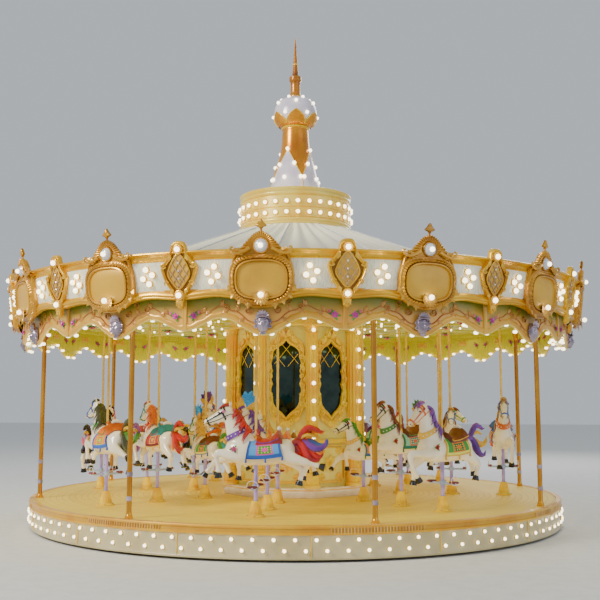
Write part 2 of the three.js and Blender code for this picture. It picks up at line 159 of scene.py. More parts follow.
def grid(points: Array, finish: int = 0) -> Shape:
    """A sheet of quads through a table of points.

    Args:
        points: (rows, columns, 3). The faces look along row direction times column direction.
        finish: The finish number.

    Returns:
        The sheet, with u along the columns and v along the rows, both from 0 to 1.
    """
    rows, columns = points.shape[:2]
    number = np.arange(rows * columns).reshape(rows, columns)
    faces = np.stack([number[:-1, :-1], number[1:, :-1], number[1:, 1:], number[:-1, 1:]],
        -1).reshape(-1, 4)
    v, u = np.meshgrid(np.linspace(0, 1, rows), np.linspace(0, 1, columns), indexing="ij")
    uv = np.stack([u, v], -1).reshape(-1, 2)
    return Shape(points.reshape(-1, 3), faces, uv, np.full(len(faces), finish))


def spline(keys: Sequence[Sequence[float]], count: int) -> Array:
    """A smooth line through keys, by Catmull-Rom cubics with equal steps between the keys.

    Args:
        keys: (k, d) values to pass through.
        count: How many points are wanted.

    Returns:
        (count, d) values.
    """
    knots = np.asarray(keys, float)
    padded = np.concatenate([2 * knots[:1] - knots[1:2], knots, 2 * knots[-1:] - knots[-2:-1]])
    place = np.linspace(0, len(knots) - 1, count)
    i = np.clip(place.astype(int), 0, len(knots) - 2)
    t = (place - i)[:, None]
    a, b, c, d = (padded[i + n] for n in range(4))
    return b + 0.5 * t * (c - a + t * (2 * a - 5 * b + 4 * c - d + t * (3 * (b - c) + d - a)))


def lathe(profile: Sequence[Sequence[float]], sides: int, finish: int = 0) -> Shape:
    """A surface of revolution about Z: each profile point (r, z) sweeps r times (sin, -cos) of the angle.

    Args:
        profile: Points (r, z), in an order that keeps the body on their left.
        sides: How many sides.
        finish: The finish number.

    Returns:
        The shape, closed round the axis.
    """
    line = np.asarray(profile, float)
    return grid(swept(np.linspace(0, TAU, sides + 1), line[:, :1], line[:, 1:]), finish)


def tube(path: Array, radius: Any, sides: int, finish: int = 0, flat: float = 1.0) -> Shape:
    """A round bar along a path, pointed at both ends where its radius is small.

    At each point the ring is radius * (cos a * side + sin a * flat * up), where side is the cross product
    of the path's direction with the axis that it follows least, and up completes the frame.

    Args:
        path: (n, 3) points.
        radius: One radius, or one for each point.
        sides: Sides of the ring.
        finish: The finish number.
        flat: Squeezes the ring across its side direction.

    Returns:
        The tube with closed ends.
    """
    path = np.asarray(path, float)
    along = np.gradient(path, axis=0)
    along /= np.linalg.norm(along, axis=1, keepdims=True) + 1e-12
    reference = np.eye(3)[np.argmin(np.abs(along).max(0))]
    side = np.cross(along, reference)
    side /= np.linalg.norm(side, axis=1, keepdims=True) + 1e-12
    up = np.cross(side, along)
    size = np.broadcast_to(np.asarray(radius, float), (len(path),))[:, None, None]
    a = np.linspace(0, TAU, sides + 1)[None, :, None]
    ring = path[:, None] + size * (np.cos(a) * side[:, None] + np.sin(a) * flat * up[:, None])
    ends = [np.broadcast_to(path[i], (1, sides + 1, 3)) for i in (0, -1)]
    return grid(np.concatenate([ends[0], ring, ends[1]])[::-1], finish)


def arc(start: float, stop: float, count: int) -> Array:
    """Angles in radians from start to stop, given in degrees."""
    return np.radians(np.linspace(start, stop, count))


def spiral(radius: float, turns: float, count: int, start: float) -> Array:
    """A scroll in the XZ plane: the radius falls evenly to 0.12 of its size as the angle runs on.

    Args:
        radius: The outer radius.
        turns: How many turns; a negative one winds the other way.
        count: How many points.
        start: The first angle in degrees, from +X to +Z.

    Returns:
        (count, 3) points round the origin.
    """
    t = np.linspace(0, 1, count)
    a = math.radians(start) + TAU * turns * t
    r = radius * (1 - 0.88 * t)
    return np.stack([r * np.cos(a), 0 * t, r * np.sin(a)], -1)


def layered(outline: Array, layers: Sequence[Sequence[float]], centre: Sequence[float],
        finish: int = 0) -> Shape:
    """A carved panel: one outline, repeated smaller and further forward.

    Layer (share, proud) puts the outline at centre + share * (outline - centre), at y = -proud.

    Args:
        outline: (n, 2) points (x, z), closed by its last point, anticlockwise seen from the front.
        layers: (share, proud) from the wall to the middle.
        centre: (x, z) that the outline shrinks to.
        finish: The finish number.

    Returns:
        The panel's front and sides.
    """
    share, proud = np.asarray(layers, float).T
    middle = np.asarray(centre, float)
    flat = middle + share[:, None, None] * (outline - middle)
    return grid(upright(flat, -proud[:, None]), finish)


def closed_curve(keys: Sequence[Sequence[float]], count: int) -> Array:
    """A smooth closed outline through (x, z) keys: a spline that runs once round and meets its start."""
    knots = list(keys)
    line = spline(knots[-2:] + knots + knots[:3], (len(knots) + 4) * count + 1)
    return line[2 * count:(len(knots) + 2) * count + 1]


def mirrored_keys(half: Sequence[Sequence[float]]) -> list[tuple[float, float]]:
    """A closed outline's keys from those of its right half, listed from the bottom to the top."""
    left = [(-x, z) for x, z in reversed(half) if abs(x) > 1e-6]
    return [(x, z) for x, z in half] + left


def leaf(length: float, width: float, lobes: int, curl: float, finish: int = 0, lift: float = 0.0) -> Shape:
    """A carved leaf that stands along +Z and curls towards -Y at its tip.

    With v from root to tip, its half width h is width * sin(pi v^0.7) * (1 + 0.25 cos(2 pi lobes v)),
    its rib stands 0.12 width + 0.22 h above its edges, and it comes forward by curl * length * v^2.

    Args:
        length: From root to tip.
        width: The widest half width.
        lobes: Scallops along each side.
        curl: How far the tip comes forward, as a share of the length.
        finish: The finish number.
        lift: How far the whole leaf stands off its ground.

    Returns:
        The leaf's front, closed behind by a flat back.
    """
    v = np.linspace(0, 1, 3 * lobes + 2)[:, None]
    across = np.linspace(-1, 1, 3)[None, :]
    half = width * np.sin(np.pi * v**0.7) * (1 + 0.25 * np.cos(TAU * lobes * v)) + 1e-4
    rib = (1 - across**2) * (0.12 * width + 0.22 * half) + lift
    out = -rib - curl * length * v**2
    front = np.stack([across * half, out, length * v + 0.12 * half * np.abs(across)], -1)
    return join([grid(front, finish), grid(front[:, [-1, 0]], finish)])


def spray(blade: Shape, angles: Iterable[float], x: float = 0, y: float = 0, z: float = 0) -> list[Shape]:
    """Copies of a leaf, fanned out in the XZ plane by angles from +Z towards +X and put at a place."""
    return [blade.turned(angle, "y").moved(x, y, z) for angle in angles]


def globe(radius: float, finish: int, sides: int = 8) -> Shape:
    """A lamp globe of a few dozen faces, round the origin."""
    a = arc(-90, 90, 5)
    return lathe(np.stack([radius * np.cos(a), radius * np.sin(a)], -1), sides, finish)


def soften(shape: Shape, voxel: float, passes: int, kept: float) -> Shape:
    """Melts overlapping closed shapes into one skin.

    Args:
        shape: The overlapping shapes.
        voxel: The edge of the new mesh's cells.
        passes: How often the points are averaged with their neighbours.
        kept: The share of the triangles that is kept, most of them where the skin bends.

    Returns:
        The one skin, with its places all at 0.
    """
    piece = Piece("skin_in_work", [])
    target = piece.mesh_object(shape)
    remesh = target.modifiers.new("melt", "REMESH")
    remesh.mode = "VOXEL"
    remesh.voxel_size = voxel
    smooth = target.modifiers.new("smooth", "SMOOTH")
    smooth.iterations = passes
    smooth.factor = 0.5
    thin = target.modifiers.new("thin", "DECIMATE")
    thin.ratio = kept
    melted = target.evaluated_get(bpy.context.evaluated_depsgraph_get()).to_mesh()
    points = np.zeros(len(melted.vertices) * 3)
    melted.vertices.foreach_get("co", points)
    melted.calc_loop_triangles()
    corners = np.zeros(len(melted.loop_triangles) * 3, int)
    melted.loop_triangles.foreach_get("vertices", corners)
    faces = corners.reshape(-1, 3)[:, [0, 1, 2, 2]]
    points = points.reshape(-1, 3)
    bpy.data.objects.remove(target)
    return Shape(points, faces, np.zeros((len(points), 2)), np.zeros(len(faces), int))


def hollowness(mesh: bpy.types.Mesh) -> Array:
    """How deep each point of a mesh lies between its neighbours.

    It is n . (m - p) / e, with p the point, n its normal, m the mean of its neighbours and e its mean edge
    length, and is then averaged once with the neighbours. Grooves come out above 0, ridges below.

    Args:
        mesh: The mesh.

    Returns:
        A value for each point, from about -1 to 1.
    """
    count = len(mesh.vertices)
    points, normals = np.zeros(count * 3), np.zeros(count * 3)
    mesh.vertices.foreach_get("co", points)
    mesh.vertices.foreach_get("normal", normals)
    points, normals = points.reshape(-1, 3), normals.reshape(-1, 3)
    pairs = np.zeros(len(mesh.edges) * 2, int)
    mesh.edges.foreach_get("vertices", pairs)
    pairs = pairs.reshape(-1, 2)
    here, there = np.concatenate([pairs, pairs[:, ::-1]]).T
    shares = 1 / np.maximum(np.bincount(here, minlength=count), 1)

    def around(values: Array) -> Array:
        """The mean of the values at a point's neighbours."""
        return np.bincount(here, values[there], count) * shares

    step = np.linalg.norm(points[there] - points[here], axis=1)
    length = np.bincount(here, step, count) * shares + 1e-9
    offset = np.stack([around(points[:, k]) for k in range(3)], -1) - points
    depth = np.einsum("ij,ij->i", offset, normals) / length
    return 0.5 * depth + 0.5 * around(depth)


@dataclass
class Piece:
    """One named piece of the carousel, made of shapes and finishes.

    Attributes:
        name: The piece's name.
        finishes: Its finishes, in the order of the shapes' finish numbers.
        shapes: The shapes added so far.
        crease: Edges sharper than this many degrees stay sharp.
    """

    name: str
    finishes: "list[Finish]"
    shapes: list[Shape] = field(default_factory=list)
    crease: float = 38.0

    def add(self, *shapes: Shape) -> None:
        """Adds shapes to the piece."""
        self.shapes.extend(shapes)

    def mesh_object(self, shape: Shape) -> bpy.types.Object:
        """An object with the shape's mesh: doubles merged, so that seams and poles close, and faces out."""
        mesh = bpy.data.meshes.new(self.name)
        three = shape.faces[:, 2] == shape.faces[:, 3]
        faces = shape.faces[~three].tolist() + shape.faces[three, :3].tolist()
        mesh.from_pydata(shape.points, [], faces, shade_flat=False)
        places = mesh.uv_layers.new(name="place")
        corners = np.zeros(len(mesh.loops), int)
        mesh.loops.foreach_get("vertex_index", corners)
        places.data.foreach_set("uv", shape.uv[corners].ravel())
        finish = np.concatenate([shape.finish[~three], shape.finish[three]])
        mesh.polygons.foreach_set("material_index", finish.astype(np.int32))
        work = bmesh.new()
        work.from_mesh(mesh)
        bmesh.ops.remove_doubles(work, verts=work.verts, dist=2e-5)
        bmesh.ops.dissolve_degenerate(work, edges=work.edges, dist=1e-6)
        bmesh.ops.recalc_face_normals(work, faces=work.faces)
        work.to_mesh(mesh)
        work.free()
        hollow = mesh.attributes.new("hollow", "FLOAT", "POINT")
        hollow.data.foreach_set("value", hollowness(mesh))
        mesh.set_sharp_from_angle(angle=math.radians(self.crease))
        result = bpy.data.objects.new(self.name, mesh)
        bpy.context.scene.collection.objects.link(result)
        return result

    def build(self, *replaces: str, body: str = TURNTABLE) -> None:
        """Makes the piece's object, dresses it and puts it on its body.

        Args:
            replaces: The frame's nodes that it stands for.
            body: The body that it moves with.
        """
        result = self.mesh_object(join(self.shapes))
        for finish in self.finishes:
            result.data.materials.append(finish.material())
        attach(result, body)
        if replaces:
            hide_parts(*replaces)
        triangles = sum(len(face.vertices) - 2 for face in result.data.polygons)
        log.info("%s rides on %s with %d triangles", self.name, body, triangles)


# Finishes


def sums(operation: str, swapped: bool = False) -> Callable[["Link", Any], "Link"]:
    """An operator that adds the Math node of this name, with the other value first if swapped."""

    def method(self: "Link", other: Any) -> "Link":
        """The two values, put together."""
        return self.math(operation, other, swapped=swapped)

    return method


class Link:
    """A value inside a shader, which Python's own sums work on."""

    __add__ = sums("ADD")
    __radd__ = sums("ADD")
    __sub__ = sums("SUBTRACT")
    __rsub__ = sums("SUBTRACT", True)
    __mul__ = sums("MULTIPLY")
    __rmul__ = sums("MULTIPLY")
    __truediv__ = sums("DIVIDE")
    __pow__ = sums("POWER")
    __mod__ = sums("FLOORED_MODULO")

    def __init__(self, graph: "Graph", socket: bpy.types.NodeSocket) -> None:
        """Wraps an output socket of a graph."""
        self.graph = graph
        self.socket = socket

    def pick(self, name: str) -> "Link":
        """Another output of the same node."""
        return Link(self.graph, self.socket.node.outputs[name])

    def math(self, operation: str, *others: Any, swapped: bool = False) -> "Link":
        """A Math node on this value and others, or on the others first if swapped."""
        values = (*others, self) if swapped else (self, *others)
        return self.graph.node("ShaderNodeMath", {"operation": operation}, *values)

    def __abs__(self) -> "Link":
        """The size of self."""
        return self.math("ABSOLUTE")

    def step(self, low: float, high: float) -> "Link":
        """A smooth step: 0 below low, 1 above high."""
        settings = {"interpolation_type": "SMOOTHSTEP"}
        return self.graph.node("ShaderNodeMapRange", settings, self, low, high, 0.0, 1.0)


class Graph:
    """The node tree of one material."""

    def __init__(self, material: bpy.types.Material) -> None:
        """Empties the material's tree and gives it a surface."""
        self.tree = material.node_tree
        self.tree.nodes.clear()
        self.output = self.tree.nodes.new("ShaderNodeOutputMaterial")

    def node(self, kind: str, settings: dict[str, Any] | None = None, *values: Any, **named: Any) -> Link:
        """Adds a node.

        Args:
            kind: The node's type.
            settings: Its settings, set first; "stops" are a ramp's places and colours.
            values: Numbers, colours or links for its inputs in order; None leaves one as it is.
            named: The same by the input's name or identifier.

        Returns:
            Its first output that is in use.
        """
        made = self.tree.nodes.new(kind)
        settings = dict(settings or {})
        stops = settings.pop("stops", None)
        for key, value in settings.items():
            setattr(made, key, value)
        if stops:
            elements = made.color_ramp.elements
            while len(elements) < len(stops):
                elements.new(0.5)
            for element, (place, colour) in zip(elements, stops):
                element.position = place
                element.color = (*colour, 1)
        for key, value in [*enumerate(values), *named.items()]:
            if value is None:
                continue
            if isinstance(key, int):
                target = [socket for socket in made.inputs if socket.enabled][key]
            else:
                label = key.replace("_", " ")
                target = next(s for s in made.inputs if s.enabled
                    and (s.name == label or s.identifier == key))
            if isinstance(value, Link):
                self.tree.links.new(value.socket, target)
            else:
                target.default_value = (*value, 1) if target.type == "RGBA" else value
        return Link(self, next(socket for socket in made.outputs if socket.enabled))

    def place(self, scale: Sequence[float] = (1, 1, 1)) -> Link:
        """The point's place on its object in metres, stretched."""
        here = self.node("ShaderNodeTexCoord").pick("Object")
        return self.node("ShaderNodeMapping", None, Vector=here, Scale=tuple(scale))

    def axes(self, vector: Link | None = None) -> tuple[Link, Link, Link]:
        """The three numbers of a vector, or of the point's place."""
        here = vector or self.node("ShaderNodeTexCoord").pick("Object")
        split = self.node("ShaderNodeSeparateXYZ", None, here)
        return split, split.pick("Y"), split.pick("Z")

    def sheet(self) -> tuple[Link, Link]:
        """The piece's own u and v."""
        u, v, _ = self.axes(self.node("ShaderNodeUVMap", {"uv_map": "place"}))
        return u, v

    def hollow(self) -> Link:
        """The piece's own measure of its grooves and ridges."""
        return self.node("ShaderNodeAttribute", {"attribute_name": "hollow"}).pick("Fac")

    def noise(self, scale: float, detail: float = 3.0, vector: Link | None = None,
            rough: float = 0.5) -> Link:
        """Cloudy noise from 0 to 1 with this many blobs a metre."""
        return self.node("ShaderNodeTexNoise", None, Vector=vector or self.place(), Scale=scale,
            Detail=detail, Roughness=rough)

    def mix(self, share: Any, low: Any, high: Any) -> Link:
        """A blend of two colours."""
        made = self.node("ShaderNodeMix", {"data_type": "RGBA"}, share, low, high)
        return Link(self, next(s for s in made.socket.node.outputs if s.identifier == "Result_Color"))

    def ramp(self, value: Link, *stops: tuple[float, Colour]) -> Link:
        """A colour that runs through stops as the value grows."""
        return self.node("ShaderNodeValToRGB", {"stops": stops}, value)


def tint(code: str) -> Colour:
    """The linear colour of a six-digit code, by the usual power curve above a short straight foot."""
    shares = [int(code[i:i + 2], 16) / 255 for i in (0, 2, 4)]
    return tuple(s / 12.92 if s <= 0.04045 else ((s + 0.055) / 1.055) ** 2.4 for s in shares)


@dataclass(frozen=True)
class Finish:
    """Gloss paint: one colour that drifts a little from place to place, under a thin clear coat.

    Attributes:
        name, slot: The material's name, and its slot, which is not used.
        colour, second: The main colour, and the one that it drifts to.
        roughness: Its roughness, which varies by a quarter.
        coat: The clear coat's weight.
        grain, relief_grain: Blobs of colour and of unevenness a metre.
        relief: The height of the fine unevenness, in metres.
        shade: How much painted shade darkens the paint in its grooves.
    """

    name: str
    slot: str
    colour: Colour
    second: Colour
    roughness: float = 0.35
    metallic: float = 0.0
    coat: float = 0.3
    grain: float = 6.0
    relief: float = 0.0006
    relief_grain: float = 60.0
    shade: float = 0.55

    def colour_link(self, g: Graph) -> Link:
        """The colour over the surface, drawn towards a dark copy of the second colour in the grooves as
        painted shade.
        """
        base = g.mix(g.noise(self.grain, 4.0).step(0.35, 0.7), self.colour, self.second)
        # painted shade: grooves are darkened towards a third of the second colour
        return g.mix(g.hollow().step(0.02, 0.3) * self.shade, base, tuple(0.3 * c for c in self.second))

    def height_link(self, g: Graph) -> Link:
        """The height over the surface, in metres."""
        return g.noise(self.relief_grain) * self.relief

    def roughness_link(self, g: Graph) -> Link:
        """The roughness over the surface."""
        return g.noise(self.grain * 4, 2.0) * (self.roughness * 0.5) + self.roughness * 0.75

    def surface(self, g: Graph) -> Link:
        """The shader."""
        normal = g.node("ShaderNodeBump", None, Height=self.height_link(g), Distance=1.0, Strength=0.8)
        return g.node("ShaderNodeBsdfPrincipled", None, Base_Color=self.colour_link(g), Normal=normal,
            Roughness=self.roughness_link(g), Metallic=self.metallic, Coat_Weight=self.coat,
            Coat_Roughness=0.12)

    def material(self) -> bpy.types.Material:
        """The finish's material, made once."""
        made = bpy.data.materials.get(self.name)
        if made is None:
            made = bpy.data.materials.new(self.name)
            made.use_nodes = True
            made.diffuse_color = (*self.colour, 1)
            graph = Graph(made)
            graph.tree.links.new(self.surface(graph).socket, graph.output.inputs["Surface"])
        return made


@dataclass(frozen=True)
class Gilding(Finish):
    """Gold paint: two close tones in clouds, a brown glaze with painted shade in the grooves, and painted
    highlights on the ridges.
    """

    metallic: float = 0.45
    roughness: float = 0.3
    coat: float = 0.35
    grain: float = 2.2
    # the glaze colour is a real brown glaze in specks, and painted shade in the grooves; the ridge colour is
    # a painted highlight
    glaze: Colour = tint("7a4408")
    ridge: Colour = tint("ffd860")

    def colour_link(self, g: Graph) -> Link:
        """Gold in two tones, with the glaze and painted shade where the surface is hollow, the glaze in
        small specks, and painted highlights on the ridges.
        """
        base = g.mix(g.noise(self.grain, 4.0).step(0.3, 0.75), self.colour, self.second)
        specks = g.noise(self.grain * 16, 4.0).step(0.6, 0.85) * 0.2
        hollow = g.hollow()
        # painted shade: the grooves take on the glaze colour
        groove = hollow.step(0.0, 0.22) * 0.85
        # painted highlight: the ridges are lightened towards the ridge colour
        bright = g.mix((0 - hollow).step(0.05, 0.35) * 0.25, base, self.ridge)
        return g.mix((groove + specks).math("MINIMUM", 1.0), bright, self.glaze)


@dataclass(frozen=True)
class DeckBoards(Finish):
    """Painted deck boards that run round the deck, with a fine groove every board and scuffed paint."""

    board: float = 0.085
    groove: float = 0.006

    def radius(self, g: Graph) -> Link:
        """The distance from the axis."""
        x, y, _ = g.axes()
        return (x * x + y * y) ** 0.5

    def rings(self, g: Graph) -> Link:
        """1 in the grooves: the distance from the axis, modulo one board's width."""
        return 1 - ((self.radius(g) % self.board) / self.groove).step(0.4, 1.0)

    def colour_link(self, g: Graph) -> Link:
        """Cream boards, each a little different, with darker grooves and worn streaks."""
        board = (self.radius(g) / self.board).math("FLOOR")
        tone = g.node("ShaderNodeTexWhiteNoise", {"noise_dimensions": "1D"}, W=board)
        worn = g.noise(1.6, 6.0, rough=0.7).step(0.4, 0.75)
        base = g.mix(tone * 0.5 + worn * 0.5, self.colour, self.second)
        return g.mix(self.rings(g) * 0.7, base, tint("6b5526"))

    def height_link(self, g: Graph) -> Link:
        """Grooves 1.5 mm deep, and a fine grain."""
        return g.noise(90.0) * 0.0003 - self.rings(g) * 0.0015


@dataclass(frozen=True)
class Lamp(Finish):
    """A lit lamp globe: warm white glass that glows."""

    glow: float = 5.0

    def surface(self, g: Graph) -> Link:
        """A glossy white body whose glow is a little uneven."""
        glow = g.mix(g.noise(40.0), self.colour, self.second)
        return g.node("ShaderNodeBsdfPrincipled", None, Base_Color=self.colour_link(g), Roughness=0.2,
            Coat_Weight=0.5, Emission_Color=glow, Emission_Strength=self.glow)


@dataclass(frozen=True)
class Streaked(Finish):
    """Streaky gloss paint: the second colour lies in long soft strokes up the surface."""

    stretch: Sequence[float] = (14.0, 14.0, 2.2)

    def colour_link(self, g: Graph) -> Link:
        """Stretched noise between the two colours."""
        strokes = g.noise(self.grain, 6.0, g.place(self.stretch), 0.6)
        return g.mix(strokes.step(0.38, 0.72), self.colour, self.second)


@dataclass(frozen=True)
class Graded(Finish):
    """Gloss paint that runs from one colour at a height to the second one above it, to paint light and shade
    that change with height.
    """

    low: float = 2.56
    high: float = 2.8

    def colour_link(self, g: Graph) -> Link:
        """The height between low and high, blurred by soft noise, runs from the colour to the second."""
        _, _, z = g.axes()
        blur = (g.noise(self.grain, 4.0) - 0.5) * 0.09
        return g.mix((z + blur).step(self.low, self.high), self.colour, self.second)


@dataclass(frozen=True)
class Glass(Finish):
    """Silvered mirror glass, slightly rippled."""

    metallic: float = 1.0
    roughness: float = 0.04
    relief: float = 0.0009
    relief_grain: float = 3.0


@dataclass(frozen=True)
class Cloth(Finish):
    """A woven blanket with a bound edge and a sewn patch of small flowers a side, on its own u and v."""

    edge: Colour = tint("2a6fb0")
    motif: Colour = tint("e0559a")
    patch: Colour = tint("4f9a2c")
    repeats: float = 22.0

    def colour_link(self, g: Graph) -> Link:
        """A band round the edge and, 0.335 in u from the back's middle, a patch with dots and a heart."""
        u, v = g.sheet()
        from_back, along = abs(u - 0.5), abs(v - 0.5)
        rim = from_back.math("MAXIMUM", along)
        side = abs(from_back - 0.335)
        patch = (side / 0.1).math("MAXIMUM", along / 0.24)
        cell_u = abs((u * self.repeats) % 1.0 - 0.5)
        cell_v = abs((v * self.repeats * 0.5) % 1.0 - 0.5)
        dots = 1 - (cell_u + cell_v).step(0.26, 0.36)
        heart = 1 - ((side / 0.042) ** 2 + (along / 0.1) ** 2).step(0.8, 1.0)
        field = g.mix(heart, g.mix(dots, self.patch, self.second), self.motif)
        bordered = g.mix(patch.step(0.76, 0.8), field, self.motif)
        sewn = g.mix(patch.step(0.97, 1.0), bordered, self.colour)
        return g.mix(rim.step(0.43, 0.44), sewn, self.edge)

    def height_link(self, g: Graph) -> Link:
        """A fine weave."""
        u, v = g.sheet()
        return (u * 300.0).math("SINE") * (v * 300.0).math("SINE") * 0.0002 + g.noise(50.0) * 0.0006


def gold(name: str, main: str, second: str, **more: Any) -> Gilding:
    """A gilding of two tones."""
    return Gilding(name, "gilt", tint(main), tint(second), **more)


def paint(name: str, main: str, second: str, slot: str = "horse", **more: Any) -> Finish:
    """A gloss paint of two tones."""
    return Finish(name, slot, tint(main), tint(second), **more)


GOLD_WARM = gold("gilt_warm", "f4c008", "dc9c04")
GOLD_COPPER = gold("gilt_copper_shields", "d89c10", "a86808")
GOLD_FIELD = gold("gilt_field", "e8b428", "cc9820", metallic=0.2, roughness=0.4)
GOLD_PALE = gold("gilt_pale", "fcd41c", "f0b008", metallic=0.25)
GOLD_ORANGE = gold("gilt_orange", "f0bc20", "dc9410", metallic=0.2, roughness=0.4)
COPPER = gold("gilt_copper", "c88018", "a05808", metallic=0.45)
BRASS = gold("brass_tube", "f8b818", "d48c04", metallic=0.6, roughness=0.22)
POLE_BRASS = gold("pole_brass", "fcd860", "e8b438", metallic=0.5, roughness=0.25)
SILVER = paint("silver_lavender", "c4b4c4", "84788c", "gilt", metallic=0.6, roughness=0.25)
PEARL_SHELL = paint("pearl_shell", "f6f1e8", "d8dbe6", "cream", metallic=0.15, roughness=0.2, coat=0.9)
LAVENDER = paint("lavender_tube", "b8a0e0", "9480c8", "brass")
BELL_YELLOW = paint("bell_yellow", "f8d000", "e0a800", "gilt", roughness=0.6, coat=0.0)
PALE_BLUE = paint("footrest_blue", "a9b8d8", "8ea0c4", "brass")
MAROON = paint("pedal_maroon", "7e1f22", "581418", "horse", roughness=0.5)
TREAD = paint("tread_plate", "f4d28a", "d0a04a", "gilt", metallic=0.4, roughness=0.4)
DECK = DeckBoards("deck_boards", "deck", tint("f6d644"), tint("e4be34"), roughness=0.6, coat=0.05)
# the skirt's beige is darker than the plinth's white: cream paint, darkened further by painted shade
SKIRT_WHITE = paint("skirt_white", "d0c294", "c0b080", "white", roughness=0.4, grain=2.0)
PLINTH_WHITE = paint("plinth_white", "fff6ea", "efe0cc", "white")
CREAM = paint("panel_cream", "f4ec88", "e0d460", "cream", roughness=0.45, grain=2.5)
# painted reflection: the silvering is tinted dark green, standing in for the dark surroundings that the
# mirrors reflect
MIRROR_GLASS_DARK_REFLECTION = Glass("mirror_glass", "mirror", tint("3a4a40"), tint("243430"))
STEEL = paint("primer_grey", "8b8f92", "6f7376", "steel", metallic=0.3, roughness=0.55)
SAIL_WHITE = paint("sail_white", "f4ecf6", "dacfe2", "cream", roughness=0.25, coat=0.6, grain=3.0)
GOLD_NECK = gold("gilt_neck", "f0a010", "c07008", metallic=0.6, roughness=0.24)
GOLD_BRIGHT = gold("gilt_bright", "ffe000", "f8b000", metallic=0.2, glaze=tint("985000"),
    ridge=tint("fff070"))
GOLD_COLUMN = gold("gilt_column", "ffdc00", "fcb400", metallic=0.35, roughness=0.3, glaze=tint("a05800"))
GOLD_LATTICE = gold("gilt_lattice", "c89a78", "a07a6c")
GOLD_TAN = gold("gilt_tan", "f4bc38", "d89828", metallic=0.2)
GOLD_DRUM = gold("gilt_drum", "ffe468", "f8cc40", metallic=0.1)
GOLD_VINE = gold("gilt_vine", "c8782c", "9c4c18", metallic=0.2)
PEARL = Streaked("pearl_panel", "cream", tint("fffbe0"), tint("dcdcbc"), roughness=0.25, coat=0.7)
# painted light: the cloth is bright near the drum, as if lit by the drum's lamps, and duller towards its
# edge
ROOF_CLOTH_LIT_NEAR_DRUM = Graded("roof_cloth", "roofing", tint("cec8b0"), tint("fffde0"), roughness=0.6, coat=0.0,
    grain=1.5, low=3.5, high=4.05)
ROOF_SEAM = paint("roof_seam", "d8dad8", "c0c4c2", "roofing", roughness=0.7, coat=0.0)
CANOPY = Streaked("canopy_yellow_green", "canopy_yellow", tint("e4e000"), tint("c0bc00"), roughness=0.35)
# painted shadow: the valance turns dark olive towards its top, where the rounding boards above shade it
VALANCE_PAINT_SHADED_TOP = Graded("valance_paint", "canopy_yellow", tint("f4b44c"), tint("7c8014"), roughness=0.4,
    grain=3.0)
BEAD_CREAM = gold("bead_cream", "f8dc70", "f0c848", metallic=0.1)
LAMP = Lamp("lamp_globe", "white", tint("fff6de"), tint("ffecc0"))
LEAF_GREEN = paint("leaf_green", "5fae2a", "2f8a3a", "horse")
ROSE_MAGENTA = paint("rose_magenta", "e04cb0", "b83890", "horse")
ROSE_PINK = paint("rose_pink", "f48cb0", "e0607c", "horse")
WHITE_PETAL = paint("petal_white", "f8f4ec", "e6dccf", "cream")


# The studio


